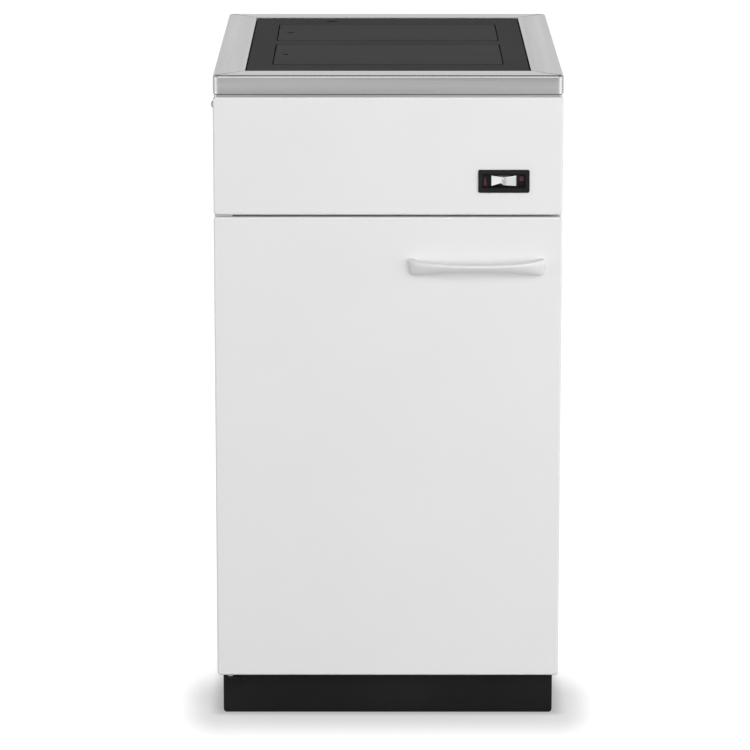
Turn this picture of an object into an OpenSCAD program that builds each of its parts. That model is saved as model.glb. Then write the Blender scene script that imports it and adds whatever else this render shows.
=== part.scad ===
// Narrow wood-burning side cooker: a white enamelled casing with a steel hob on top, a fire behind the
// cover door, an ash drawer under the grate and a log bay below it.
// The origin is on the floor in the middle of the cooker. +X is to the right, +Y to the back, +Z up.
// Inside the modules, y is counted from the face of the cover door, and placed() puts that face in its place.

/* [Casing] */
// Width over the side panels, the fascia and the cover door
body_w = 446; // [440:1:480]
// Depth from the face of the cover door to the back panel
body_d = 600; // [596:1:630]
// Height from the floor to the top of the hob frame
body_h = 850; // [840:1:880]
// Thickness of the casing's sheet steel
sheet_t = 1.5; // [1.2:0.1:1.8]
// Radius of the folded front edges and corners
fold_r = 2.5; // [2:0.1:4]
// Width of the folded returns round the panels
return_w = 15; // [12:1:16]
// Distance from the face of the cover door back to the side panels
carcass_inset = 32; // [31.5:0.5:36]

/* [Plinth and feet] */
// Height of the plinth
plinth_h = 57; // [55:1:70]
// Distance from the face of the cover door back to the plinth
plinth_inset = 24; // [24:1:30]
// Distance of the plinth in from each side of the casing
plinth_side_inset = 6.6; // [5:0.1:10]
// Radius of the lower corners of the plinth's front
plinth_corner_r = 4.5; // [3:0.5:6]
// Radius of a foot's pad
foot_pad_r = 16; // [12:1:20]
// Radius of a foot's thread
foot_thread_r = 4; // [3:0.5:5]
// Distance of the feet in from each side of the casing
foot_side_inset = 40; // [39:1:60]
// Distance of the feet in from the front and from the back
foot_end_inset = 60; // [58:1:90]
// Travel of a levelling foot
foot_travel = 15; // [8:1:16]

/* [Hob frame] */
// Width of the flat steel border round the hob
border_w = 40; // [36:1:44]
// Height of the frame, with its lower lip
frame_h = 28; // [26:1:32]
// Height of the set-in lower lip of the frame
frame_lip_h = 4; // [3:0.5:6]
// Thickness of the frame's stainless sheet
frame_t = 2; // [1.5:0.1:2.5]
// Radius of the frame's upper outer edge
frame_edge_r = 2.4; // [2:0.1:3]
// Radius of the frame's upright corners
frame_corner_r = 5; // [3:0.5:6]
// Width of the seam at each mitre
mitre_gap = 0.3; // [0.1:0.1:0.6]

/* [Hob plate and covers] */
// Thickness of the hob plate
hob_t = 8; // [8:0.5:10]
// Gap between the hob plate and the frame
hob_gap = 1.6; // [1:0.1:3]
// How far the hob plate lies below the top of the frame
hob_drop = 1; // [0.5:0.1:1.5]
// Width of both cover plates
cover_w = 296.5; // [280:0.5:304]
// Depth of the front cover plate
front_cover_d = 185; // [170:1:190]
// Depth of the rear cover plate
rear_cover_d = 160; // [150:1:165]
// Distance from the face of the cover door to the front cover plate
front_cover_y = 104.5; // [100:0.5:108]
// Width of the bridge of the hob plate between the two covers
bridge_d = 40; // [34:1:44]
// Gap round a cover plate
cover_gap = 1.4; // [0.6:0.1:1.6]
// Width of the ledge that a cover plate lies on
ledge_w = 6; // [5:0.5:8]
// Height of the rim of a cover plate above its ledge
cover_rim_h = 5; // [4:0.5:5.5]
// Radius of the lifting hole in the front cover
lift_hole_r = 3.5; // [3:0.1:4]
// Length of the lifting slot in the rear cover
cover_slot_l = 11; // [9:1:14]
// Length of the lifting slot in the hob plate
hob_slot_l = 15; // [12:1:18]
// Width of the lifting slots
lift_slot_w = 6; // [5:0.5:7]
// Height that the hob plate and the covers lift
lift_travel = 80; // [40:5:120]

/* [Fascia and damper slide] */
// Height of the fascia
fascia_h = 152; // [140:1:160]
// Gap between the fascia and the cover door
door_gap = 2.8; // [2.6:0.1:4]
// Width of the slide's black bezel
bezel_w = 65.4; // [60:0.1:72]
// Height of the bezel
bezel_h = 29.7; // [28:0.1:34]
// How far the bezel stands proud of the fascia
bezel_proud = 1.8; // [1:0.1:3]
// Width of the window in the bezel
window_w = 54.6; // [52:0.1:56]
// Height of the window in the bezel
window_h = 16.5; // [15.5:0.1:20]
// Depth of the cup behind the window
cup_d = 13; // [12:0.5:16]
// Distance of the window's middle to the right of the cooker's middle
window_x = 147.6; // [140:0.1:150]
// Distance of the window's middle below the top of the frame
window_drop = 136; // [120:1:140]
// Width of the slide's bow-tie grip
grip_w = 32.4; // [28:0.1:34]
// Height of the grip at its ends
grip_h = 14; // [12:0.1:14.5]
// Height of the grip at its waist
grip_waist_h = 9; // [7:0.1:10]
// Travel of the slide to each side
slide_travel = 9; // [6:0.5:9]

/* [Cover door] */
// Thickness of the cover door with its liner
door_t = 20; // [18:0.5:20]
// Distance of the hinge line in from the left side
hinge_in = 16.4; // [15.5:0.1:17]
// Distance from the face of the cover door to the hinge line
hinge_depth = 10; // [9:0.5:11]
// Radius of the hinge pins
hinge_pin_r = 3; // [2.5:0.1:3.5]
// Length of the handle
handle_l = 179.6; // [170:0.1:190]
// How far the handle stands proud of the door
handle_proj = 28; // [26:1:36]
// Height of the handle at its feet
handle_foot_h = 21.5; // [20:0.5:26]
// Height of the handle in its middle
handle_waist_h = 11.2; // [9:0.1:14]
// Depth of the handle's bar in its middle
handle_bar_d = 8; // [7:0.5:10]
// Lean of the front of the bar in its middle, in degrees
handle_lean = 20; // [0:1:28]
// Width of the handle's feet
handle_foot_w = 12; // [10:0.5:13]
// Distance of the handle's middle to the right of the cooker's middle
handle_x = 113.9; // [110:0.1:116]
// Distance of the handle's middle below the top of the door
handle_drop = 64; // [50:1:90]

/* [Fire and ash] */
// Width inside the firebox walls
firebox_w = 334; // [330:1:334]
// Thickness of the firebox walls
firebox_t = 3; // [2.5:0.5:4]
// Distance from the face of the cover door to the cast front of the fire
fire_front_y = 74.5; // [74:0.5:78]
// Thickness of the cast front of the fire
fire_front_t = 8; // [7:0.5:9]
// Width of the fire door's opening
fire_open_w = 230; // [210:2:234]
// Height of the fire door's opening
fire_open_h = 120; // [110:1:124]
// Width of the ash drawer's opening
ash_open_w = 236; // [220:2:236]
// Height of the ash drawer's opening
ash_open_h = 101; // [98:1:104]
// Height of the cast bar between the two openings
fire_bar_h = 44; // [44:1:48]
// How far the fire door and the ash front overlap their openings
cast_overlap = 13; // [11:0.5:13]
// Thickness of the fire bricks
brick_t = 30; // [26:1:30]
// Depth of the fire between the bricks
fire_d = 232; // [228:1:240]
// Height of the side and rear bricks
brick_h = 290; // [260:5:300]
// Thickness of the grate
grate_t = 10; // [8:1:12]
// Width of the ash pan
ash_pan_w = 222; // [200:2:222]
// Height of the ash pan
ash_pan_h = 80; // [60:1:82]
// Travel of the ash drawer
ash_travel = 250; // [150:10:250]
// Travel of the grate's shaker to each side
shaker_travel = 10; // [6:1:10]
// Travel of the air slide
air_travel = 22; // [14:1:22]

/* [Flue] */
// Radius outside the flue spigot, for a stove pipe of 120 inside
flue_r = 59.3; // [54:0.1:61]
// Thickness of the flue spigot
flue_wall = 4; // [3:0.5:5]
// How far the flue spigot stands out of the back panel
flue_proj = 40; // [30:1:60]
// Distance from the top of the frame down to the middle of the flue
flue_drop = 112; // [106:1:130]

/* [Hidden] */
$fn = 48;

// Clearances and small constants
seat_gap = 0.3;         // beside a piece that is set between two others
run_gap = 0.08;         // round a pin or a rod that turns or slides
eps = 0.01;             // how far a cutter reaches past a face
bracket_t = 2;          // thickness of the hinge brackets

// Heights
frame_bottom = body_h - frame_h;
fascia_bottom = frame_bottom - fascia_h;
door_top = fascia_bottom - door_gap;
door_bottom = plinth_h + 0.4;
door_h = door_top - door_bottom;
window_z = body_h - window_drop;
handle_z = door_top - handle_drop;
hob_top = body_h - hob_drop;
hob_bottom = hob_top - hob_t;
hob_seal_h = 4;
rim_t = 3;
rim_top = hob_bottom - hob_seal_h;
walls_top = rim_top - rim_t;
fire_open_top = fascia_bottom - 20;
fire_open_bottom = fire_open_top - fire_open_h;
ash_open_top = fire_open_bottom - fire_bar_h;
ash_open_bottom = ash_open_top - ash_open_h;
shelf_top = ash_open_bottom - 11;
shelf_t = 2;
floor_top = shelf_top + firebox_t;
runner_top = ash_open_bottom + 2;
sill_h = 30;
carrier_top = fire_open_bottom - sill_h;
carrier_t = 8;
grate_bottom = carrier_top + seat_gap;
cast_top = fascia_bottom - 2;
flue_z = body_h - flue_drop;
base_t = sheet_t;
base_top = plinth_h + base_t;
slot_h = 62;                        // height of the register's slots in the baffle
register_z = walls_top - 24 - slot_h;
arm_z = window_z;

// Depths, counted from the face of the cover door
back_y = body_d - sheet_t;
surround_y = fire_front_y + fire_front_t;
firebox_y = surround_y + sheet_t;
fire_y = firebox_y + firebox_t + seat_gap;
rear_brick_y = fire_y + fire_d + seat_gap;
firebox_back_y = body_d - 58;
baffle_y = rear_brick_y + brick_t + 80;
gate_t = 2;
gate_y = baffle_y - seat_gap - gate_t;
arm_y = gate_y - 6;
front_y = (handle_proj - body_d - flue_proj) / 2;

// Widths
half_w = body_w / 2;
skin_x = half_w - sheet_t;
wall_x = firebox_w / 2;
hinge_x = hinge_in - half_w;
brick_x = wall_x - seat_gap;
fire_x = brick_x - brick_t;
cast_x = wall_x + 13;
rod_r = 4;
rod_x = wall_x + 21;

// Hob
hob_w = body_w - 2 * border_w - 2 * hob_gap;
hob_y = border_w + hob_gap;
hob_d = body_d - 2 * hob_y;
rear_cover_y = front_cover_y + front_cover_d + bridge_d;
cover_corner_r = 4;
lift_in = 13.5;                     // from a cover's left edge to its lifting hole

// Colours
enamel = [0.92, 0.92, 0.92];
stainless = [0.74, 0.74, 0.75];
black_steel = [0.16, 0.16, 0.165];
cast_iron = [0.22, 0.22, 0.23];
plinth_black = [0.08, 0.08, 0.085];
galvanised = [0.66, 0.68, 0.7];
zinc = [0.75, 0.76, 0.77];
brick = [0.78, 0.7, 0.58];
rope = [0.3, 0.29, 0.28];
nylon = [0.88, 0.87, 0.84];

// ---------------------------------------------------------------- shared shapes

// Puts a piece that is drawn from the face of the cover door in its place
module placed() translate([0, front_y, 0]) children();

// A box between two corners
module block(low, high) translate(low) cube(high - low);

// A rectangle with round corners, centred
module rounded_rect(w, h, r) {
    square([w - 2 * r, h], center = true);
    square([w, h - 2 * r], center = true);
    for (x = [-1, 1], y = [-1, 1]) translate([x * (w / 2 - r), y * (h / 2 - r)]) circle(r);
}

// An upright plate with round corners, from y to y + t, between two heights
module upright_plate(w, z0, z1, y, t, r, x = 0)
    translate([x, y + t, (z0 + z1) / 2]) rotate([90, 0, 0]) linear_extrude(t) rounded_rect(w, z1 - z0, r);

// A lying plate with round corners
module lying_plate(w, y0, y1, z, t, r, x = 0)
    translate([x, (y0 + y1) / 2, z]) linear_extrude(t) rounded_rect(w, y1 - y0, r);

// A rod along X, Y or Z
module rod_x(x0, x1, y, z, r) translate([x0, y, z]) rotate([0, 90, 0]) cylinder(h = x1 - x0, r = r);
module rod_y(x, y0, y1, z, r) translate([x, y0, z]) rotate([-90, 0, 0]) cylinder(h = y1 - y0, r = r);
module rod_z(x, y, z0, z1, r) translate([x, y, z0]) cylinder(h = z1 - z0, r = r);

// The outline of a pan from above or from the side: its two front corners are round
module front_rounded(w, d, r) {
    translate([r - w / 2, 0]) square([w - 2 * r, d]);
    translate([-w / 2, r]) square([w, d - r]);
    for (x = [-1, 1]) translate([x * (w / 2 - r), r]) circle(r);
}

// A folded sheet pan with its face at y = 0 and open at the back
module pan(w, z0, z1, d, t, r) difference() {
    intersection() {
        upright_plate(w, z0, z1, 0, d, r);
        translate([0, 0, z0]) linear_extrude(z1 - z0) front_rounded(w, d, r);
        translate([-w / 2, 0, (z0 + z1) / 2]) rotate([90, 0, 90]) linear_extrude(w)
            rotate([0, 0, -90]) front_rounded(z1 - z0, d, r);
    }
    block([t - w / 2, t, z0 + t], [w / 2 - t, d + 1, z1 - t]);
}

// A pan-head screw along +X with its head's seat at x = 0 and its shank on the +X side
module screw(head_r, head_h, shank_r, shank_l) {
    translate([-head_h, 0, 0]) rotate([0, 90, 0]) difference() {
        intersection() {
            cylinder(h = head_h, r = head_r);
            translate([0, 0, head_r * 1.35]) sphere(head_r * 1.35);
        }
        translate([0, 0, -1]) for (a = [0, 90]) rotate([0, 0, a])
            translate([-head_r * 0.55, -0.5, 0]) cube([head_r * 1.1, 1, 1 + head_h * 0.45]);
    }
    rod_x(-eps, shank_l, 0, 0, shank_r);
}

// ---------------------------------------------------------------- casing

// A side panel: a pan on its side with returns at the front, the back, the top and the bottom
module side_panel(side) color(enamel) placed() {
    inner = skin_x - return_w;
    difference() {
        mirror([side < 0 ? 1 : 0, 0, 0]) {
            block([skin_x, carcass_inset, plinth_h], [half_w, back_y, frame_bottom]);
            block([inner, carcass_inset, base_top], [skin_x, carcass_inset + sheet_t, frame_bottom]);
            block([inner, back_y - sheet_t, base_top], [skin_x, back_y, frame_bottom]);
            block([inner, carcass_inset, frame_bottom - sheet_t], [skin_x, back_y, frame_bottom]);
            block([inner, carcass_inset, base_top], [skin_x, back_y, base_top + sheet_t]);
        }
        for (z = screw_heights) rod_y(side * screw_x, back_y - 2 * sheet_t, body_d, z, screw_hole_r);
    }
}
module side_panel_left() side_panel(-1);
module side_panel_right() side_panel(1);

screw_hole_r = 2.1;
screw_x = skin_x - return_w / 2;
screw_end = 40;                     // from a panel's end to its first screw
screw_heights = [for (i = [0:3]) mix(base_top + screw_end, frame_bottom - screw_end, i / 3)];
vent_l = 200;
vent_w = 6;
vent_pitch = 18;
back_flange_w = 12;

// The back panel, with two groups of vent slots and the hole for the flue
module back_panel() color(galvanised) placed() difference() {
    union() {
        block([seat_gap - skin_x, back_y, plinth_h], [skin_x - seat_gap, body_d, frame_bottom]);
        block([return_w - skin_x + seat_gap, back_y - back_flange_w, frame_bottom - sheet_t],
              [skin_x - return_w - seat_gap, back_y + eps, frame_bottom]);
    }
    rod_y(0, back_y - 1, body_d + 1, flue_z, collar_r + 4);
    for (bank = [plinth_h + 60, shelf_top + 30], z = [bank:vent_pitch:bank + 4 * vent_pitch])
        upright_plate(vent_l, z, z + vent_w, back_y - 1, sheet_t + 2, vent_w / 2 - 0.1);
    for (x = [-1, 1], z = screw_heights) rod_y(x * screw_x, back_y - 1, body_d + 1, z, screw_hole_r);
}

// The back panel's screws, and the one at the left end of the fascia
module casing_screws() color(zinc) placed() {
    for (x = [-1, 1], z = screw_heights)
        translate([x * screw_x, body_d, z]) rotate([0, 0, -90]) screw(4, 2.4, 1.9, 8);
    translate([-half_w, fascia_screw_y, fascia_screw_z]) screw(4.6, 2.6, 1.9, 8);
}
fascia_screw_y = 8;
fascia_screw_z = frame_bottom - 10;

// The floor of the casing and of the log bay
module base_plate() color(galvanised) placed() difference() {
    block([-skin_x, carcass_inset, plinth_h], [skin_x, back_y - sheet_t, base_top]);
    for (p = foot_places) rod_z(p[0], p[1], plinth_h - 1, base_top + 1, foot_thread_r + 1);
}

// The plinth: a folded front and two sides, with a flange under the base plate and one on the floor
module plinth() color(plinth_black) placed() {
    w = body_w - 2 * plinth_side_inset;
    back = back_y - 20;
    difference() {
        intersection() {
            translate([0, plinth_inset, 0]) linear_extrude(plinth_h)
                front_rounded(w, back - plinth_inset, fold_r);
            union() {
                upright_plate(w, 0, plinth_h + 10, plinth_inset - 1, 10, plinth_corner_r);
                block([-w, plinth_inset + 8, 0], [w, back_y, plinth_h]);
            }
        }
        block([sheet_t - w / 2, plinth_inset + sheet_t, sheet_t],
              [w / 2 - sheet_t, body_d, plinth_h - sheet_t]);
        block([return_w - w / 2, plinth_inset + return_w, -1], [w / 2 - return_w, body_d, plinth_h + 1]);
    }
}

// ---------------------------------------------------------------- feet

foot_places = [for (y = [foot_end_inset, body_d - foot_end_inset], x = [-1, 1])
    [x * (half_w - foot_side_inset), y]];
pad_h = 8;
socket_h = 16;

// Sleeves under the base plate for the feet
module foot_sockets() color(zinc) placed() for (p = foot_places) difference() {
    rod_z(p[0], p[1], plinth_h - socket_h, plinth_h, foot_thread_r + 4);
    rod_z(p[0], p[1], plinth_h - socket_h - 1, plinth_h + 1, foot_thread_r + run_gap);
}

// A levelling foot: a round pad with a sloped shoulder on a threaded stem
module foot(i) color(plinth_black) placed() translate([foot_places[i][0], foot_places[i][1], 0]) {
    rotate_extrude() polygon([
        [0, 0], [foot_pad_r - 1, 0], [foot_pad_r, 1], [foot_pad_r, 4], [foot_thread_r + 4, pad_h],
        [foot_thread_r, pad_h], [foot_thread_r, base_top + 5], [foot_thread_r - 1, base_top + 6],
        [0, base_top + 6]]);
}
module foot_front_left() foot(0);
module foot_front_right() foot(1);
module foot_rear_left() foot(2);
module foot_rear_right() foot(3);

// ---------------------------------------------------------------- hob frame

// The section of a frame rail: u runs inwards from its face, v up from the bottom of its lip
module rail_section() difference() {
    union() {
        translate([0, frame_lip_h]) square([frame_t, frame_h - frame_lip_h]);
        translate([0, frame_h - frame_t]) square([border_w, frame_t]);
        translate([border_w - frame_t, frame_h - 14]) square([frame_t, 14]);
        translate([0, frame_lip_h]) square([2 * frame_t, frame_t]);
        translate([frame_t, 0]) square([frame_t, frame_lip_h + frame_t]);
    }
    difference() {
        translate([-1, frame_h - frame_edge_r]) square([frame_edge_r + 1, frame_edge_r + 1]);
        translate([frame_edge_r, frame_h - frame_edge_r]) circle(frame_edge_r);
    }
}

// A rail along the front edge of a w by d frame, with mitred ends
module rail(w) intersection() {
    translate([-w / 2, 0, frame_bottom]) rotate([90, 0, 90]) linear_extrude(w) rail_section();
    end = w / 2 - mitre_gap;
    reach = border_w + 1;
    translate([0, 0, frame_bottom - 1]) linear_extrude(frame_h + 2)
        polygon([[-end, 0], [end, 0], [end - reach, reach], [reach - end, reach]]);
}

// The frame's footprint, which rounds its upright corners
module frame_footprint()
    lying_plate(body_w, 0, body_d, frame_bottom - 1, frame_h + 2, frame_corner_r);

module frame_front_rail() color(stainless) placed() intersection() { rail(body_w); frame_footprint(); }
module frame_rear_rail() color(stainless) placed() intersection() {
    translate([0, body_d, 0]) rotate([0, 0, 180]) rail(body_w);
    frame_footprint();
}
module frame_left_rail() color(stainless) placed() intersection() {
    translate([-half_w, body_d / 2, 0]) rotate([0, 0, -90]) rail(body_d);
    frame_footprint();
}
module frame_right_rail() color(stainless) placed() intersection() {
    translate([half_w, body_d / 2, 0]) rotate([0, 0, 90]) rail(body_d);
    frame_footprint();
}

// ---------------------------------------------------------------- hob

// The seat of a cover plate in the hob plate: a wide upper part and a narrower hole under it
module cover_seat(y, d) {
    lying_plate(cover_w + 2 * cover_gap, y - cover_gap, y + d + cover_gap,
                hob_top - cover_rim_h, cover_rim_h + 1, cover_corner_r + cover_gap);
    lying_plate(cover_w - 2 * ledge_w, y + ledge_w, y + d - ledge_w,
                hob_bottom - 1, hob_t + 2, cover_corner_r);
}

// A cover plate: a flat rim that lies on the ledge and a plug that drops through the hole
module cover(y, d) {
    lying_plate(cover_w, y, y + d, hob_top - cover_rim_h, cover_rim_h, cover_corner_r);
    lying_plate(cover_w - 2 * ledge_w - 2 * cover_gap, y + ledge_w + cover_gap, y + d - ledge_w - cover_gap,
                hob_bottom, hob_t - cover_rim_h + eps, cover_corner_r);
}

// A slot through the hob for the lifting hook
module lift_slot(x, y, l)
    lying_plate(l, y - lift_slot_w / 2, y + lift_slot_w / 2,
                hob_bottom - 1, hob_t + 2, lift_slot_w / 2 - eps, x);

hob_slot_x = -77;
hob_slot_y = (rear_cover_y + rear_cover_d + hob_y + hob_d) / 2;
front_hole_x = lift_in - cover_w / 2;
rear_slot_x = front_hole_x + 2.5;
rear_slot_y = rear_cover_y + rear_cover_d / 2;

module hob_plate() color(black_steel) placed() difference() {
    lying_plate(hob_w, hob_y, hob_y + hob_d, hob_bottom, hob_t, 3);
    cover_seat(front_cover_y, front_cover_d);
    cover_seat(rear_cover_y, rear_cover_d);
    lift_slot(hob_slot_x, hob_slot_y, hob_slot_l);
}

module front_cover() color(black_steel) placed() difference() {
    cover(front_cover_y, front_cover_d);
    rod_z(front_hole_x, front_cover_y + front_cover_d / 2, hob_bottom - 1, hob_top + 1, lift_hole_r);
}

module rear_cover() color(black_steel) placed() difference() {
    cover(rear_cover_y, rear_cover_d);
    lift_slot(rear_slot_x, rear_slot_y, cover_slot_l);
}

// The steel ring on top of the firebox walls and the rope seal on it that carries the hob plate
rim_x = wall_x + 11;
rim_y = firebox_y - 14;
rim_back = firebox_back_y + 11;
rim_w = 18;
module ring_plate(out, w, z, t, r) difference() {
    lying_plate(2 * (rim_x - out), rim_y + out, rim_back - out, z, t, r);
    lying_plate(2 * (rim_x - out - w), rim_y + out + w, rim_back - out - w, z - 1, t + 2, r);
}
module hob_rim() color(cast_iron) placed() ring_plate(0, rim_w, walls_top, rim_t, 3);
module hob_seal() color(rope) placed() ring_plate(3, 8, rim_top, hob_seal_h, 3);

// ---------------------------------------------------------------- fascia and damper slide

window_front_gap = 0.4;             // round the bezel's cup in the fascia
cup_w = window_w + 3;
cup_h = window_h + 3;

module fascia() color(enamel) placed() difference() {
    pan(body_w, fascia_bottom, frame_bottom, carcass_inset, sheet_t, fold_r);
    upright_plate(cup_w + 2 * window_front_gap, window_z - cup_h / 2 - window_front_gap,
                  window_z + cup_h / 2 + window_front_gap, -1, sheet_t + 2, 1.5, window_x);
    rod_x(-half_w - 1, -skin_x + 1, fascia_screw_y, fascia_screw_z, screw_hole_r);
}

// Angle brackets that hold the fascia to the side panels; the left one takes its screw
module fascia_brackets() color(galvanised) placed() for (side = [-1, 1]) difference() {
    mirror([side < 0 ? 1 : 0, 0, 0]) {
        low = fascia_screw_z - 30;
        high = fascia_screw_z + 6;
        block([skin_x - 2, fascia_screw_y - 5, low], [skin_x, carcass_inset, high]);
        block([skin_x - return_w, carcass_inset - 2, low], [skin_x, carcass_inset, high]);
    }
    rod_x(-half_w, 0, fascia_screw_y, fascia_screw_z, 1.9 + run_gap);
}

// The black bezel with its cup and the slot that the slide's stem runs in
bezel_corner_r = 2.2;
cup_floor = cup_d - 2;              // depth of the cup's floor
stem_h = 5;
module slide_bezel() color(plinth_black) placed() difference() {
    union() {
        translate([0, -bezel_proud, 0]) intersection() {
            upright_plate(bezel_w, window_z - bezel_h / 2, window_z + bezel_h / 2,
                          0, bezel_proud, bezel_corner_r, window_x);
            translate([window_x, 0, window_z - bezel_h]) linear_extrude(2 * bezel_h)
                front_rounded(bezel_w, bezel_proud, 0.8);
        }
        upright_plate(cup_w, window_z - cup_h / 2, window_z + cup_h / 2, -eps, cup_d, 1.2, window_x);
    }
    upright_plate(window_w, window_z - window_h / 2, window_z + window_h / 2, -bezel_proud - 1,
                  bezel_proud + 1 + cup_floor, 1, window_x);
    upright_plate(2 * slide_travel + stem_w + 1, window_z - stem_h / 2 - 0.5, window_z + stem_h / 2 + 0.5,
                  cup_d - 5, 10, 1, window_x);
}
stem_w = 8;

// The polished bow-tie grip: two wings that slope in to a waist with a round hub.
// It sits on a small carriage with a flat stem.
grip_front = 1.5;
grip_back = cup_d - 2.6;
carriage_w = window_w - 2 * slide_travel - 1.4;
carriage_h = window_h - 1.3;
carriage_y = grip_back - 1;
module grip_wing_outline() polygon([
    [-grip_w / 2, -grip_h / 2], [-grip_w / 2, grip_h / 2], [0, grip_waist_h / 2],
    [grip_w / 2, grip_h / 2], [grip_w / 2, -grip_h / 2], [0, -grip_waist_h / 2]]);
module grip_depth_outline() polygon([
    [-grip_w / 2, grip_back], [-grip_w / 2, grip_front], [-2, grip_front + 3.5], [2, grip_front + 3.5],
    [grip_w / 2, grip_front], [grip_w / 2, grip_back]]);
module damper_grip() color(stainless) placed() translate([window_x, 0, window_z]) {
    intersection() {
        translate([0, grip_back, 0]) rotate([90, 0, 0])
            linear_extrude(grip_back - grip_front) grip_wing_outline();
        translate([0, 0, -grip_h]) linear_extrude(2 * grip_h) grip_depth_outline();
    }
    rod_y(0, grip_front + 1.5, grip_front + 5, 0, 2.6);
    upright_plate(carriage_w, -carriage_h / 2, carriage_h / 2, carriage_y, cup_floor - 0.2 - carriage_y, 1);
    block([-stem_w / 2, grip_back - eps, -stem_h / 2], [stem_w / 2, arm_front_y, stem_h / 2]);
}
arm_front_y = cup_d + 6;

// The damper's rod: a cross arm behind the fascia, a long rod beside the firebox and an arm through its wall
module damper_rod() color(zinc) placed() {
    arm_back_y = arm_front_y + 5;
    block([window_x - 8, arm_front_y, arm_z - 8], [rod_x + rod_r, arm_back_y, arm_z + 8]);
    rod_y(rod_x, arm_back_y - eps, arm_y, arm_z, rod_r);
    translate([rod_x, arm_y, arm_z]) sphere(rod_r);
    rod_x(gate_boss_x + 8, rod_x, arm_y, arm_z, rod_r);
}

// The register: a plate with slots that slides in front of the matching slots in the baffle
slot_w = 16;
slot_pitch = 36;
gate_boss_x = 96;
register_slots = [-2:2];
module register_cuts(shift, y, t) for (i = register_slots)
    upright_plate(slot_w, register_z, register_z + slot_h, y - 1, t + 2, 3, i * slot_pitch + shift);
gate_low = register_z - 8;
gate_high = register_z + slot_h + 8;
module damper_gate() color(cast_iron) placed() difference() {
    union() {
        upright_plate(2 * gate_x, gate_low, gate_high, gate_y, gate_t, 2);
        block([gate_boss_x, gate_y, arm_z - 10], [gate_boss_x + 24, gate_y + gate_t, gate_low + 5]);
        block([gate_boss_x, arm_y - rod_r - 3, arm_z - rod_r - 3],
              [gate_boss_x + 24, gate_y + eps, arm_z + rod_r + 3]);
    }
    register_cuts(-slide_travel, gate_y, gate_t);
    rod_x(gate_boss_x + 8 - seat_gap, gate_boss_x + 30, arm_y, arm_z, rod_r + 0.05);
}
gate_x = 2.5 * slot_pitch + slot_w / 2 + 22;

// The guide that carries the front of the damper's rod, fixed to the right side panel
module damper_guide() color(galvanised) placed() difference() {
    union() {
        block([wall_x + 5, guide_y, arm_z - 14], [skin_x, guide_y + 2, arm_z + 14]);
        block([skin_x - 2, guide_y, arm_z - 14], [skin_x, guide_y + 16, arm_z + 14]);
    }
    upright_plate(2 * (slide_travel + rod_r + 0.6), arm_z - rod_r - run_gap, arm_z + rod_r + run_gap,
                  guide_y - 1, 4, rod_r, rod_x);
}
guide_y = 58;

// ---------------------------------------------------------------- cover door

door_pan_d = door_t - sheet_t;
door_flange_w = 14;
hinge_hole_r = hinge_pin_r + 2;
upper_pin_bottom = door_top - 14;

module door_skin() color(enamel) placed() difference() {
    union() {
        pan(body_w, door_bottom, door_top, door_pan_d, sheet_t, fold_r);
        difference() {
            block([sheet_t - half_w - eps, door_pan_d - sheet_t, door_bottom + sheet_t - eps],
                  [skin_x + eps, door_pan_d, door_top - sheet_t + eps]);
            block([sheet_t + door_flange_w - half_w, 0, door_bottom + door_flange_w + sheet_t],
                  [skin_x - door_flange_w, door_t, door_top - door_flange_w - sheet_t]);
        }
    }
    rod_z(hinge_x, hinge_depth, door_bottom - 1, door_bottom + 20, hinge_hole_r + run_gap);
    rod_z(hinge_x, hinge_depth, door_top - 20, door_top + 1, hinge_hole_r + run_gap);
    for (x = handle_screw_x) rod_y(x, -1, 6, handle_z, 2.6);
    for (p = liner_screw_places) rod_y(p[0], door_pan_d - 4, door_t, p[1], screw_hole_r);
}

handle_screw_x = [for (s = [-1, 1]) handle_x + s * (handle_l - handle_foot_w) / 2];
liner_screw_places = [for (x = [-1, 1], z = [0:3])
    [x * (skin_x - door_flange_w / 2 - 1), door_bottom + 45 + z * (door_h - 90) / 3]];

// Mineral board inside the door
module door_insulation() color([0.82, 0.8, 0.74]) placed() difference() {
    block([hinge_x + hinge_hole_r + 5, sheet_t + seat_gap, door_bottom + door_flange_w + 6],
          [skin_x - door_flange_w - 2, door_pan_d - seat_gap, door_top - door_flange_w - 6]);
    for (x = handle_screw_x) rod_y(x, 0, door_t, handle_z, 6);
}

// The liner sheet on the back of the door, with vent slots at its top and bottom
module door_liner() color(galvanised) placed() difference() {
    upright_plate(body_w - 6, door_bottom + 3, door_top - 3, door_pan_d, sheet_t, 3);
    for (p = liner_screw_places) rod_y(p[0], door_pan_d - 1, door_t + 1, p[1], screw_hole_r);
    for (z = [door_bottom + 20, door_top - 26], i = [-3:3])
        upright_plate(30, z, z + 6, door_pan_d - 1, sheet_t + 2, 2.9, i * 46);
}

// The liner's screws and the two that hold the handle
module door_screws() color(zinc) placed() {
    for (p = liner_screw_places)
        translate([p[0], door_t, p[1]]) rotate([0, 0, -90]) screw(3.8, 1.8, 1.9, 7);
    for (x = handle_screw_x) translate([x, sheet_t, handle_z]) rotate([0, 0, -90]) screw(4.5, 2.5, 2.4, 9);
}

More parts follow.
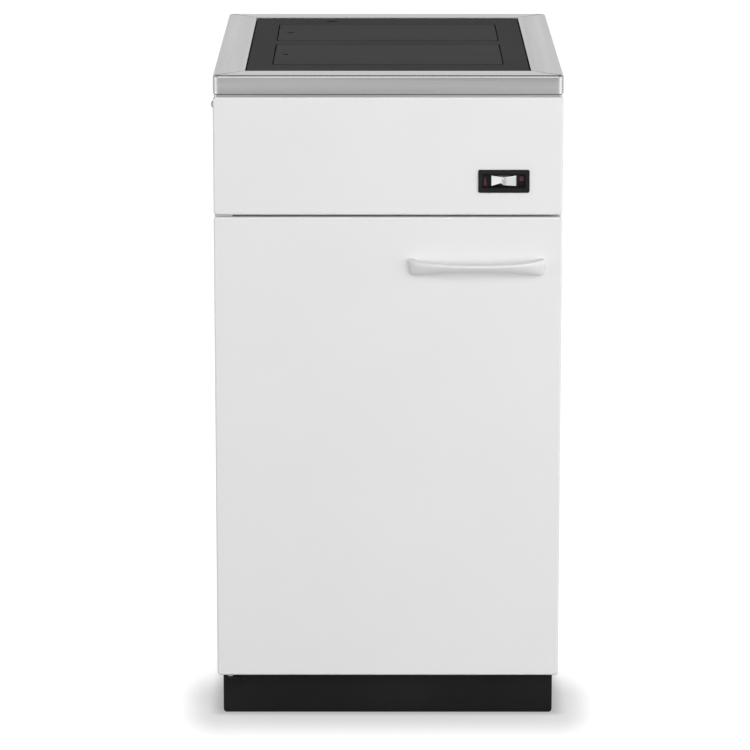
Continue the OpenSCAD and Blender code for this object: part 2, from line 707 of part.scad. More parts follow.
// The bow handle is swept along half an ellipse. Its section is tall at the feet. In the middle it is slim
// and leans, so that its front looks down a little.
handle_steps = 40;
handle_sides = 28;
handle_squareness = 3.4;            // exponent of the section's superellipse
handle_reach = handle_proj - handle_bar_d / 2 - handle_waist_h / 2 * tan(handle_lean);
handle_half = (handle_l - handle_foot_w) / 2;
function handle_slim(a) = pow(sin(a), 1.6);
function mix(p, q, k) = p + (q - p) * k;
function superround(a, n) = [sign(cos(a)) * pow(abs(cos(a)), 2 / n), sign(sin(a)) * pow(abs(sin(a)), 2 / n)];
function handle_ring(i) =
    let (a = 180 * i / handle_steps,
         centre = [-handle_half * cos(a), -handle_reach * sin(a)],
         tangent = [handle_half * sin(a), -handle_reach * cos(a)],
         across = [-tangent[1], tangent[0]] / norm(tangent),
         bend_r = pow(norm(tangent), 3) / (handle_half * handle_reach),
         h = mix(handle_foot_h, handle_waist_h, handle_slim(a)),
         d = min(mix(handle_foot_w, handle_bar_d, handle_slim(a)), 1.7 * bend_r))
    [for (j = [0:handle_sides - 1])
        let (s = superround(360 * j / handle_sides, handle_squareness),
             out = s[0] * d / 2 - s[1] * h / 2 * tan(handle_lean) * handle_slim(a))
        [centre[0] + across[0] * out, centre[1] + across[1] * out, s[1] * h / 2]];
module door_handle() color(enamel) placed() translate([handle_x, 0, handle_z]) difference() {
    polyhedron(
        points = [for (i = [0:handle_steps]) each handle_ring(i)],
        faces = concat(
            [[for (j = [0:handle_sides - 1]) j]],
            [for (i = [0:handle_steps - 1], j = [0:handle_sides - 1])
                let (k = (j + 1) % handle_sides, p = i * handle_sides, q = p + handle_sides)
                each [[p + j, q + j, q + k], [p + j, q + k, p + k]]],
            [[for (j = [handle_sides - 1:-1:0]) handle_steps * handle_sides + j]]));
    for (x = handle_screw_x) rod_y(x - handle_x, -8, 1, 0, 2.5);
}

// Hinge: bushes in the door, the lower one with a cone under the door, and pins on two brackets
module hinge_bushes() color(nylon) placed() difference() {
    union() {
        rod_z(hinge_x, hinge_depth, upper_pin_bottom - 2, door_top, hinge_hole_r);
        rod_z(hinge_x, hinge_depth, door_top - sheet_t - 2, door_top - sheet_t, hinge_hole_r + 1.6);
        rod_z(hinge_x, hinge_depth, door_bottom - eps, door_bottom + 14, hinge_hole_r);
        translate([hinge_x, hinge_depth, door_bottom - bush_cone_h])
            cylinder(h = bush_cone_h, r1 = hinge_pin_r + 0.8, r2 = hinge_hole_r + 1.6);
    }
    rod_z(hinge_x, hinge_depth, door_bottom - 10, door_top + 1, hinge_pin_r + run_gap);
}
bush_cone_h = 3.4;
lower_bracket_top = door_bottom - bush_cone_h - 0.1;
lower_bracket_h = 16;
hinge_block_w = 7;                  // from the hinge line to the brackets' left edges
lower_bracket_w = 12;               // from the hinge line to the lower bracket's right edge

module upper_hinge_bracket() color(zinc) placed() {
    z = door_top + (door_gap - bracket_t) / 2;
    left = 3.3 - half_w;
    block([left, 3, z], [hinge_x + 8, carcass_inset, z + bracket_t]);
    block([left, carcass_inset - bracket_t, z - 30], [hinge_x + 8, carcass_inset, z + eps]);
    rod_z(hinge_x, hinge_depth, upper_pin_bottom, z + eps, hinge_pin_r);
}

module lower_hinge_bracket() color(plinth_black) placed() difference() {
    union() {
        block([hinge_x - hinge_block_w, 3, lower_bracket_top - bracket_t],
              [hinge_x + lower_bracket_w, plinth_inset, lower_bracket_top]);
        block([hinge_x - hinge_block_w, plinth_inset - bracket_t, lower_bracket_top - lower_bracket_h],
              [hinge_x + lower_bracket_w, plinth_inset, lower_bracket_top]);
    }
    rod_z(hinge_x, hinge_depth, 0, door_bottom, hinge_pin_r + 0.02);
}

// The lower pin, with a riveted head under its bracket
module lower_hinge_pin() color(plinth_black) placed() translate([hinge_x, hinge_depth, 0]) {
    seat = lower_bracket_top - bracket_t;
    rotate_extrude() polygon([
        [0, seat - 1.6], [2.6, seat - 1.6], [4.4, seat - 0.8], [4.4, seat], [hinge_pin_r, seat],
        [hinge_pin_r, door_bottom + 11], [hinge_pin_r - 1, door_bottom + 12], [0, door_bottom + 12]]);
}

// The magnet that holds the door shut, on the right side panel's return
module door_magnet() color(plinth_black) placed() difference() {
    inner = skin_x - return_w;
    union() {
        block([inner, door_t + seat_gap, magnet_z - 20], [skin_x - 2, carcass_inset, magnet_z + 20]);
        block([inner - 3, carcass_inset - 3, magnet_z - 20], [skin_x - 2, carcass_inset, magnet_z + 20]);
    }
    for (z = [magnet_z - 12, magnet_z + 12])
        block([inner - 4, door_t, z - 1], [skin_x - 4, door_t + 2, z + 1]);
}
magnet_z = (door_top + door_bottom) / 2;

// ---------------------------------------------------------------- fire

// The shelf across the casing that carries the firebox over the log bay
module ash_shelf() color(galvanised) placed() {
    x = skin_x - seat_gap;
    back = back_y - sheet_t - seat_gap;
    block([-x, surround_y, shelf_top - shelf_t], [x, back, shelf_top]);
    for (s = [0, 1]) mirror([s, 0, 0])
        block([x - shelf_t, surround_y, shelf_top - 22], [x, back, shelf_top - shelf_t + eps]);
    block([-x, surround_y, shelf_top - 22], [x, surround_y + shelf_t, shelf_top - shelf_t + eps]);
}

// The black sheet that fills the niche round the cast front and forms its ceiling
module front_surround() color(plinth_black) placed() {
    x = skin_x - seat_gap;
    difference() {
        block([-x, surround_y, shelf_top], [x, firebox_y, cast_top + sheet_t]);
        block([-wall_x + 2, surround_y - 1, shelf_top - 1], [wall_x - 2, firebox_y + 1, fire_open_top + 6]);
    }
    for (s = [0, 1]) mirror([s, 0, 0])
        block([x - sheet_t, firebox_y - eps, shelf_top], [x, firebox_y + 18, cast_top]);
    block([-x, carcass_inset + sheet_t + seat_gap, cast_top], [x, firebox_y, cast_top + sheet_t]);
}

// The cast front of the fire, with openings for the fire door and the ash drawer
fire_pin_x = -fire_open_w / 2 - cast_overlap - 12;
fire_pin_y = fire_front_y - 9.5;
fire_pin_r = 3;
leaf_low = fire_open_bottom - cast_overlap;
leaf_high = fire_open_top + cast_overlap;
knuckle_h = 15;
knuckle_places = [leaf_low + 12, leaf_high - 12 - knuckle_h];
lug_h = 10;
shaker_x = 60;
shaker_z = grate_bottom + grate_t / 2;
module fire_front() color(cast_iron) placed() difference() {
    upright_plate(2 * cast_x, shelf_top, cast_top, fire_front_y, fire_front_t, 6);
    upright_plate(fire_open_w, fire_open_bottom, fire_open_top, fire_front_y - 1, fire_front_t + 2, 6);
    upright_plate(ash_open_w, ash_open_bottom, ash_open_top, fire_front_y - 1, fire_front_t + 2, 4);
    rod_y(shaker_x, fire_front_y - 1, firebox_y, shaker_z, rod_r + 0.4);
}

// The two hinge lugs and the latch's keeper on the cast front
module fire_front_lugs() color(cast_iron) placed() {
    for (z = knuckle_places) difference() {
        hull() {
            rod_z(fire_pin_x, fire_pin_y, z - lug_h - seat_gap, z - seat_gap, 6);
            block([fire_pin_x - 6, fire_front_y - 1, z - lug_h - seat_gap],
                  [fire_pin_x + 6, fire_front_y, z - seat_gap]);
        }
        rod_z(fire_pin_x, fire_pin_y, z - lug_h - 1, z + 1, fire_pin_r + 0.02);
    }
    keeper();
}

// The keeper: a post beside the fire door with a hook that the latch's nose turns behind
leaf_t = 9;
seal_t = 3;
leaf_y = fire_front_y - seat_gap - seal_t - leaf_t;
leaf_w = fire_open_w + 2 * cast_overlap;
latch_x = fire_open_w / 2 - 8;
latch_z = (leaf_low + leaf_high) / 2;
latch_y = leaf_y - 10;
keeper_x = fire_open_w / 2 + cast_overlap + 8;
module keeper() {
    block([keeper_x, latch_y - 8, latch_z - 9], [keeper_x + 8, fire_front_y, latch_z + 9]);
    block([keeper_x - 6.5, latch_y - 8, latch_z - 9], [keeper_x + 8, latch_y - 2, latch_z + 3]);
}

module fire_door_pins() color(zinc) placed() for (z = knuckle_places)
    rod_z(fire_pin_x, fire_pin_y, z - lug_h - seat_gap, z + knuckle_h + 2, fire_pin_r);

// The fire door: a cast leaf with a raised border and upright ribs, and two hinge knuckles
module fire_door_leaf() color(cast_iron) placed() difference() {
    union() {
        upright_plate(leaf_w, leaf_low, leaf_high, leaf_y, leaf_t, 5);
        for (i = [-4:4]) upright_plate(6, leaf_low + 24, leaf_high - 24, leaf_y - 3, 4, 2.9, i * 20 - 8);
        rod_y(latch_x, leaf_y - 3, leaf_y + 1, latch_z, 14);
        for (z = knuckle_places) hull() {
            rod_z(fire_pin_x, fire_pin_y, z, z + knuckle_h, 6);
            block([-leaf_w / 2 + 1, leaf_y, z], [-leaf_w / 2 + 8, leaf_y + leaf_t, z + knuckle_h]);
        }
    }
    for (z = knuckle_places) rod_z(fire_pin_x, fire_pin_y, z - 1, z + knuckle_h + 1, fire_pin_r + run_gap);
    rod_y(latch_x, leaf_y - 10, leaf_y + leaf_t + 1, latch_z, 5 + run_gap);
}

module seal_ring(w, low, high, r) upright_plate(w, low, high, leaf_y + leaf_t - 1, seal_t + 1, r);
module fire_door_seal() color(rope) placed() difference() {
    upright_plate(leaf_w - 4, leaf_low + 2, leaf_high - 2, leaf_y + leaf_t, seal_t, 6);
    upright_plate(leaf_w - 20, leaf_low + 10, leaf_high - 10, leaf_y, 2 * leaf_t, 5);
}

// The latch: a shaft through the leaf, a nose towards the keeper and a lever with a ball
module fire_door_latch() color(zinc) placed() translate([latch_x, 0, latch_z]) {
    rod_y(0, latch_y - 1, leaf_y + leaf_t - 1, 0, 5);
    rod_y(0, latch_y - 1, leaf_y - 3.2, 0, 9);
    rotate([0, -38, 0]) hull() {
        rod_y(0, latch_y + 0.5, latch_y + 4.5, 0, 6);
        rod_y(keeper_x - latch_x - 6, latch_y + 0.5, latch_y + 4.5, 0, 4);
    }
    rotate([0, 90, 0]) {
        hull() {
            rod_y(0, latch_y - 1, latch_y + 5, 0, 6);
            rod_y(46, latch_y - 1, latch_y + 5, 0, 4.5);
        }
        translate([52, latch_y + 1, 0]) sphere(8);
    }
}

// Steel walls of the firebox and of the smoke chamber behind it, with a ledge inside for the grate's frame
module firebox_walls() color(cast_iron) placed() {
    block([-wall_x - firebox_t, firebox_y, floor_top], [-wall_x, firebox_back_y, walls_top]);
    difference() {
        block([wall_x, firebox_y, floor_top], [wall_x + firebox_t, firebox_back_y, walls_top]);
        rod_x(wall_x - 1, wall_x + firebox_t + 1, arm_y, arm_z, rod_r + 0.4);
    }
    block([-wall_x, firebox_y, fire_open_top + 6], [wall_x, firebox_y + firebox_t, walls_top]);
    ledge_z = carrier_top - carrier_t;
    for (s = [0, 1]) mirror([s, 0, 0])
        block([wall_x - 10, firebox_y, ledge_z - firebox_t], [wall_x + eps, rear_brick_y + brick_t, ledge_z]);
}

module firebox_back() color(cast_iron) placed() difference() {
    block([-wall_x - firebox_t, firebox_back_y, floor_top],
          [wall_x + firebox_t, firebox_back_y + firebox_t, walls_top]);
    rod_y(0, firebox_back_y - 1, firebox_back_y + 10, flue_z, flue_r - flue_wall + 1);
}

module firebox_floor() color(cast_iron) placed()
    block([-wall_x - firebox_t, firebox_y, shelf_top],
          [wall_x + firebox_t, firebox_back_y + firebox_t, floor_top]);

// Fire bricks: two sides, the rear and a low sill behind the fire door; their edges are chamfered
module brick_block(low, high, c = 3) hull() {
    block([low[0] + c, low[1], low[2] + c], [high[0] - c, high[1], high[2] - c]);
    block([low[0], low[1] + c, low[2] + c], [high[0], high[1] - c, high[2] - c]);
    block([low[0] + c, low[1] + c, low[2]], [high[0] - c, high[1] - c, high[2]]);
}
module fire_bricks() color(brick) placed() difference() {
    z0 = carrier_top;
    z1 = carrier_top + brick_h;
    union() {
        for (s = [0, 1]) mirror([s, 0, 0]) brick_block([fire_x, fire_y, z0], [brick_x, fire_y + fire_d, z1]);
        brick_block([-brick_x, rear_brick_y, z0], [brick_x, rear_brick_y + brick_t, z1]);
        brick_block([seat_gap - fire_x, firebox_y + seat_gap, z0],
                    [fire_x - seat_gap, sill_back, fire_open_bottom], 2);
    }
    rod_y(shaker_x, firebox_y, sill_back + 1, shaker_z, rod_r + 0.4);
}
sill_back = fire_y + 10;

// The cast frame that the bricks stand on and the grate slides on
grate_w = 2 * (fire_x - 8);
grate_y = sill_back + 14;
grate_d = rear_brick_y - sill_back - 2 * 14;
carrier_open_w = grate_w - 32;
module grate_carrier() color(cast_iron) placed() difference() {
    block([-brick_x, firebox_y + seat_gap, carrier_top - carrier_t],
          [brick_x, rear_brick_y + brick_t, carrier_top]);
    lying_plate(carrier_open_w, grate_y + 14, grate_y + grate_d - 14,
                carrier_top - carrier_t - 1, carrier_t + 2, 4);
}

// The flat grate, with rows of slots for the ash to fall through
grate_slot_w = 8;
grate_slots = 11;
module grate() color(cast_iron) placed() difference() {
    row_d = (grate_d - 28) / 2;
    lying_plate(grate_w, grate_y, grate_y + grate_d, grate_bottom, grate_t, 5);
    for (row = [0, 1], i = [0:grate_slots - 1])
        lying_plate(grate_slot_w, grate_y + 18 + row * row_d, grate_y + 10 + (row + 1) * row_d,
                    grate_bottom - 1, grate_t + 2, grate_slot_w / 2 - eps,
                    (i - (grate_slots - 1) / 2) * (carrier_open_w - 12) / grate_slots);
    rod_y(shaker_x, grate_y - 1, grate_y + 12, shaker_z, rod_r + 0.05);
}

// The shaker: a rod from the grate to a turned knob in front of the cast front
knob_front = door_t + shaker_travel + 6;
module shaker_rod() color(zinc) placed() {
    rod_y(shaker_x, knob_front + 12, grate_y + 11, shaker_z, rod_r);
    translate([shaker_x, knob_front, shaker_z]) rotate([-90, 0, 0]) rotate_extrude()
        polygon([[0, 0], [8, 0], [10.5, 2.5], [10.5, 7], [6, 13], [6, 16], [0, 16]]);
}

// ---------------------------------------------------------------- ash drawer

pan_low = runner_top + 0.2;
pan_back = fire_y + fire_d;
pan_t = 1.5;
cast_front_t = 9;
ash_front_y = fire_front_y - seat_gap - cast_front_t;
module ash_runners() color(cast_iron) placed() for (s = [0, 1]) mirror([s, 0, 0])
    block([ash_pan_w / 2 - 16, firebox_y + seat_gap, floor_top], [ash_pan_w / 2 - 2, pan_back, runner_top]);

module ash_pan() color(galvanised) placed() difference() {
    round_box([-ash_pan_w / 2, ash_front_y + cast_front_t, pan_low],
              [ash_pan_w / 2, pan_back, pan_low + ash_pan_h]);
    block([pan_t - ash_pan_w / 2, ash_front_y + cast_front_t + pan_t, pan_low + pan_t],
          [ash_pan_w / 2 - pan_t, pan_back - pan_t, pan_low + ash_pan_h + 1]);
}
module round_box(low, high) lying_plate(high[0] - low[0], low[1], high[1], low[2], high[2] - low[2], 4);

// The cast front of the ash drawer, with air slots, two rails for the air slide and a pull
ash_low = ash_open_bottom - 2;
ash_high = ash_open_top + 3;
air_slot_w = 20;
air_slot_h = 16;
air_pitch = 44;
air_z = ash_low + 34;
air_plate_h = air_slot_h + 12;
air_rail_x = (3 * air_pitch + air_slot_w) / 2 + air_travel + 8;
module air_cuts(shift, y, t) for (i = [-1.5:1:1.5])
    upright_plate(air_slot_w, air_z - air_slot_h / 2, air_z + air_slot_h / 2,
                  y - 1, t + 2, 3, i * air_pitch + shift);
module ash_front() color(cast_iron) placed() difference() {
    union() {
        upright_plate(ash_open_w + 2 * cast_overlap - 6, ash_low, ash_high, ash_front_y, cast_front_t, 5);
        for (s = [-1, 1]) {
            z = air_z + s * (air_plate_h / 2 + 2 + seat_gap);
            block([-air_rail_x, ash_front_y - 4.5, z - 2], [air_rail_x, ash_front_y + 1, z + 2]);
            block([-air_rail_x, ash_front_y - 4.5, min(z, z - s * 4)],
                  [air_rail_x, ash_front_y - 3.2, max(z, z - s * 4)]);
        }
        rod_y(0, ash_front_y - 18, ash_front_y + 1, ash_high - 20, 5);
        translate([0, ash_front_y - 24, ash_high - 20]) rotate([-90, 0, 0]) rotate_extrude()
            polygon([[0, 0], [9, 0], [11.5, 2.5], [11.5, 6], [5, 12], [0, 12]]);
    }
    air_cuts(0, ash_front_y, cast_front_t);
}

// The air slide, with slots that meet those of the ash front when it is moved to the right
module air_slide() color(zinc) placed() difference() {
    union() {
        upright_plate(3 * air_pitch + air_slot_w + air_travel + 10,
                      air_z - air_plate_h / 2, air_z + air_plate_h / 2,
                      ash_front_y - 2.7, 2.4, 2, -air_travel / 2);
        rod_y(-1.5 * air_pitch, ash_front_y - 12, ash_front_y - 2, air_z, 4);
        rod_y(-1.5 * air_pitch, ash_front_y - 16, ash_front_y - 11, air_z, 6.5);
    }
    air_cuts(-air_travel, ash_front_y - 3, 3);
}

// ---------------------------------------------------------------- smoke path and shields

// The baffle in the smoke chamber, with the register's slots and the rails that the gate slides in
module baffle() color(cast_iron) placed() difference() {
    rail_end = gate_boss_x - slide_travel - 2;
    union() {
        block([-brick_x, baffle_y, floor_top], [brick_x, baffle_y + firebox_t, walls_top]);
        for (z = [gate_low - 4 - seat_gap, gate_high + seat_gap]) {
            lip_z = z < register_z ? z : z - 3;
            block([-gate_x - 10, gate_y - 3, z], [rail_end, baffle_y + 1, z + 4]);
            block([-gate_x - 10, gate_y - 3, lip_z], [rail_end, gate_y - seat_gap, lip_z + 7]);
        }
    }
    register_cuts(0, baffle_y, firebox_t);
}

module flue_collar() color(cast_iron) placed() difference() {
    seat = firebox_back_y + firebox_t;
    union() {
        rod_y(0, seat, body_d + flue_proj, flue_z, flue_r);
        rod_y(0, seat, body_d + collar_step, flue_z, collar_r);
        rod_y(0, seat, seat + 5, flue_z, collar_r + 15);
    }
    rod_y(0, firebox_back_y, body_d + flue_proj + 1, flue_z, flue_r - flue_wall);
}
collar_r = flue_r + 3;
collar_step = 3;

module flue_rosette() color(galvanised) placed() difference() {
    rod_y(0, body_d, body_d + sheet_t, flue_z, collar_r + 20);
    rod_y(0, body_d - 1, body_d + 5, flue_z, collar_r + seat_gap);
}

// Sheets between the firebox and the side panels, each with a foot on the shelf
module heat_shields() color(galvanised) placed() for (s = [0, 1]) mirror([s, 0, 0]) {
    x = skin_x - 18;
    block([x, firebox_y + 40, shelf_top], [x + 1, back_y - 12, walls_top - 12]);
    block([x, firebox_y + 40, shelf_top], [x + 12, back_y - 12, shelf_top + 1]);
}

// ---------------------------------------------------------------- nodes

side_panel_left();
side_panel_right();
back_panel();
casing_screws();
base_plate();
plinth();
foot_sockets();
fascia();
fascia_brackets();
frame_front_rail();
frame_rear_rail();
frame_left_rail();
frame_right_rail();
hob_rim();
hob_seal();
ash_shelf();
front_surround();
fire_front();
fire_front_lugs();
firebox_walls();
firebox_back();
firebox_floor();
fire_bricks();
grate_carrier();
ash_runners();
baffle();
flue_collar();
flue_rosette();
heat_shields();
slide_bezel();
damper_guide();
upper_hinge_bracket();
lower_hinge_bracket();
lower_hinge_pin();
door_magnet();
fire_door_pins();
door_skin();
door_insulation();
door_liner();
door_screws();
door_handle();
hinge_bushes();
fire_door_leaf();
fire_door_seal();
fire_door_latch();
ash_pan();
ash_front();
air_slide();
grate();
shaker_rod();
damper_grip();
damper_rod();
damper_gate();
hob_plate();
front_cover();
rear_cover();
foot_front_left();
foot_front_right();
foot_rear_left();
foot_rear_right();
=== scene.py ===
"""Looks of the narrow wood-burning side cooker: finishes, the detailed pieces, the studio and the camera.

Everything is in metres. The origin is on the floor in the middle of the cooker, +X right, +Y back, +Z up.
"""
import math

import bmesh
import bpy
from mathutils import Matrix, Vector


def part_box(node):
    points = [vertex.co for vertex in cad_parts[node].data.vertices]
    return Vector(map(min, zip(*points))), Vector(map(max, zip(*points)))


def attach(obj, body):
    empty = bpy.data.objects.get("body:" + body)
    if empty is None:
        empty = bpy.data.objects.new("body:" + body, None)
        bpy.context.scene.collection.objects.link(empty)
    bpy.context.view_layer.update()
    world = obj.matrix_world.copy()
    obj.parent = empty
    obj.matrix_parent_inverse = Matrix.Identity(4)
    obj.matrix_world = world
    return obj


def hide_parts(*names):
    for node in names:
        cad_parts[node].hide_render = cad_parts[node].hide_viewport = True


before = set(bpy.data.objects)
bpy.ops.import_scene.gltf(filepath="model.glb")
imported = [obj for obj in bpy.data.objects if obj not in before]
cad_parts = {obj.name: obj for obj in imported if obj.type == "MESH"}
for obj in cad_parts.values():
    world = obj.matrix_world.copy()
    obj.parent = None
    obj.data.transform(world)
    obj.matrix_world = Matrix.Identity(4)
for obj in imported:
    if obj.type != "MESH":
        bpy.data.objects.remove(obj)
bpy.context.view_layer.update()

MM = 0.001
TINY = 1e-6                          # lengths below this count as nothing
ALIGNED = 0.999                      # two directions count as one from this cosine up
PAST = 10 * MM                       # how far a cutter reaches past what it cuts


# ---------------------------------------------------------------- shaping tools

def let_go():
    """Leaves edit mode and drops the whole selection."""
    if bpy.context.mode != "OBJECT":
        bpy.ops.object.mode_set(mode="OBJECT")
    bpy.ops.object.select_all(action="DESELECT")


def hold(piece):
    """Selects one piece alone and makes it the active one."""
    let_go()
    piece.select_set(True)
    bpy.context.view_layer.objects.active = piece


def edit(piece):
    """Opens a piece for edits and returns its corners, edges and faces."""
    hold(piece)
    bpy.ops.object.mode_set(mode="EDIT")
    return bmesh.from_edit_mesh(piece.data)


def named(name):
    """Names the primitive that was just added and puts its place and size into its mesh."""
    piece = bpy.context.active_object
    piece.name = piece.data.name = name
    bpy.ops.object.transform_apply(location=True, rotation=True, scale=True)
    return piece


def block(name, low, high):
    """A block between two corners."""
    let_go()
    low, high = Vector(low), Vector(high)
    bpy.ops.mesh.primitive_cube_add(size=1, location=(low + high) / 2, scale=high - low)
    return named(name)


TURNS = {"x": (0, math.pi / 2, 0), "y": (math.pi / 2, 0, 0), "z": (0, 0, 0)}


def disc(name, middle, radius, length, axis, sides=32):
    """A cylinder round a point, along X, Y or Z."""
    let_go()
    bpy.ops.mesh.primitive_cylinder_add(vertices=sides, radius=radius, depth=length, location=middle,
                                        rotation=TURNS[axis])
    return named(name)


def pick(piece, kind, test):
    """Opens a piece with only those corners, edges or faces selected that pass the test."""
    if bpy.context.mode != "EDIT_MESH" or bpy.context.edit_object != piece:
        edit(piece)
    bpy.ops.mesh.select_mode(type=kind)
    bpy.ops.mesh.select_all(action="DESELECT")
    mesh = bmesh.from_edit_mesh(piece.data)
    for part in {"VERT": mesh.verts, "EDGE": mesh.edges, "FACE": mesh.faces}[kind]:
        if test(part):
            part.select_set(True)
    mesh.select_flush_mode()
    bmesh.update_edit_mesh(piece.data)


def runs_along(direction):
    """Tests whether an edge runs along a direction."""
    direction = Vector(direction)
    return lambda edge: abs((edge.verts[1].co - edge.verts[0].co).normalized().dot(direction)) > ALIGNED


def faces_towards(direction):
    """Tests whether a face looks in a direction."""
    direction = Vector(direction)
    return lambda face: face.normal.dot(direction) > ALIGNED


def bounds_face(direction):
    """Tests whether an edge goes round a flat face that looks in a direction."""
    looks = faces_towards(direction)
    return lambda edge: sum(1 for face in edge.link_faces if looks(face)) == 1


def outer(direction, low, high):
    """Tests for the edges along a direction that stand at the corners of a box."""
    along = runs_along(direction)
    across = [axis for axis in range(3) if abs(direction[axis]) < 0.5]

    def test(edge):
        place = edge.verts[0].co
        return along(edge) and all(
            min(abs(place[axis] - low[axis]), abs(place[axis] - high[axis])) < TINY for axis in across)
    return test


def push(x=0, y=0, z=0):
    """Pulls new sides out of the selected faces."""
    bpy.ops.mesh.extrude_region_move(TRANSFORM_OT_translate={"value": (x, y, z)})


def draw_in(by_x=0.0, by_y=0.0, by_z=0.0):
    """Makes a smaller face inside the selected one, its edges drawn in by these widths."""
    mesh = bmesh.from_edit_mesh(bpy.context.edit_object.data)
    places = [corner.co for corner in mesh.verts if corner.select]
    spans = [max(p[axis] for p in places) - min(p[axis] for p in places) for axis in range(3)]
    middle = [(max(p[axis] for p in places) + min(p[axis] for p in places)) / 2 for axis in range(3)]
    factors = [(span - 2 * by) / span if span > TINY else 1.0
               for span, by in zip(spans, (by_x, by_y, by_z))]
    push()
    bpy.ops.transform.resize(value=factors, center_override=middle)


def open_up(piece, test):
    """Takes away the faces that pass the test."""
    pick(piece, "FACE", test)
    bpy.ops.mesh.delete(type="FACE")


def make_outwards():
    """Turns the normals of the open piece outwards."""
    bpy.ops.mesh.select_all(action="SELECT")
    bpy.ops.mesh.normals_make_consistent(inside=False)


def round_off(radius, segments):
    """Rounds the selected edges."""
    bpy.ops.mesh.bevel(offset=radius, segments=segments, affect="EDGES")


def modify(piece, kind, **values):
    """Adds a modifier, sets it up and applies it."""
    hold(piece)
    tool = piece.modifiers.new(kind.title(), kind)
    for key, value in values.items():
        setattr(tool, key, value)
    bpy.ops.object.modifier_apply(modifier=tool.name)


def thicken(piece, thickness):
    """Gives an open shell its sheet thickness, inwards."""
    modify(piece, "SOLIDIFY", thickness=thickness, offset=-1, use_even_offset=True)


def cut(piece, *cutters):
    """Cuts the cutters out of a piece and throws them away."""
    for cutter in cutters:
        modify(piece, "BOOLEAN", operation="DIFFERENCE", object=cutter, solver="EXACT")
        bpy.data.objects.remove(cutter)


def soften(piece, width, segments=2, angle=35):
    """Bevels every edge that turns by more than an angle in degrees."""
    modify(piece, "BEVEL", width=width, segments=segments, limit_method="ANGLE",
           angle_limit=math.radians(angle), use_clamp_overlap=True)


def join(piece, *others):
    """Joins pieces into the first one."""
    hold(piece)
    for other in others:
        other.select_set(True)
    bpy.ops.object.join()
    return piece


def copy_of(piece, name):
    """A second piece with a mesh of its own."""
    twin = piece.copy()
    twin.data = piece.data.copy()
    twin.name = twin.data.name = name
    bpy.context.scene.collection.objects.link(twin)
    return twin


def merged_copy(node):
    """A copy of a CAD node's mesh with its corners merged and its flat faces whole."""
    let_go()
    piece = bpy.data.objects.new(node + "_dressed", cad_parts[node].data.copy())
    piece.data.name = piece.name
    bpy.context.scene.collection.objects.link(piece)
    edit(piece)
    bpy.ops.mesh.select_all(action="SELECT")
    bpy.ops.mesh.remove_doubles(threshold=0.002 * MM)
    bpy.ops.mesh.dissolve_limited(angle_limit=math.radians(0.5))
    bpy.ops.object.mode_set(mode="OBJECT")
    return piece


def dress(piece, finish, body, *nodes, angle=30):
    """Gives a finished piece its material and its body, and hides the CAD nodes it stands for."""
    hold(piece)
    bpy.ops.object.shade_smooth_by_angle(angle=math.radians(angle))
    modify(piece, "WEIGHTED_NORMAL", weight=100, keep_sharp=True)
    piece.data.materials.clear()
    piece.data.materials.append(finish.material)
    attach(piece, body)
    for node in nodes:
        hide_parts(node)
    let_go()


# ---------------------------------------------------------------- shader groups

NUMBER, VECTOR = "NodeSocketFloat", "NodeSocketVector"


def add(tree, kind, sockets=None, **settings):
    """Adds a node to a tree, with values for its settings and for its input sockets."""
    made = tree.nodes.new(kind)
    for key, value in settings.items():
        setattr(made, key, value)
    for key, value in (sockets or {}).items():
        made.inputs[key].default_value = value
    return made


def wire(tree, *links):
    """Links nodes; each link names a node, its output, the next node and its input."""
    for source, output, target, given in links:
        tree.links.new(source.outputs[output], target.inputs[given])


def math_node(tree, operation, sockets=None):
    return add(tree, "ShaderNodeMath", sockets, operation=operation)


def noise(tree, detail, roughness=0.5):
    return add(tree, "ShaderNodeTexNoise", {"Detail": detail, "Roughness": roughness},
               noise_dimensions="3D")


def remap(tree, start, end, low=0.0, high=1.0, **settings):
    """A node that turns what runs from start to end into what runs from low to high."""
    return add(tree, "ShaderNodeMapRange",
               {"From Min": start, "From Max": end, "To Min": low, "To Max": high}, **settings)


def group(name, inputs, outputs):
    """A shader group with named sockets and nothing between them, and its two end nodes."""
    made = bpy.data.node_groups.new(name, "ShaderNodeTree")
    for label, kind, value in inputs:
        made.interface.new_socket(label, in_out="INPUT", socket_type=kind).default_value = value
    for label in outputs:
        made.interface.new_socket(label, in_out="OUTPUT", socket_type=NUMBER)
    return made, made.nodes.new("NodeGroupInput"), made.nodes.new("NodeGroupOutput")


def grain_group():
    """Fine grain: a height for bumps and a mask of soft blotches, both from the piece's own place."""
    made, given, result = group(
        "Fine grain", [("Grain scale", NUMBER, 900.0), ("Blotch scale", NUMBER, 9.0)],
        ["Height", "Blotches"])
    place = add(made, "ShaderNodeTexCoord")
    fine, broad = noise(made, 3), noise(made, 4, 0.6)
    wire(made,
         (place, "Object", fine, "Vector"), (place, "Object", broad, "Vector"),
         (given, "Grain scale", fine, "Scale"), (given, "Blotch scale", broad, "Scale"),
         (fine, "Fac", result, "Height"), (broad, "Fac", result, "Blotches"))
    return made


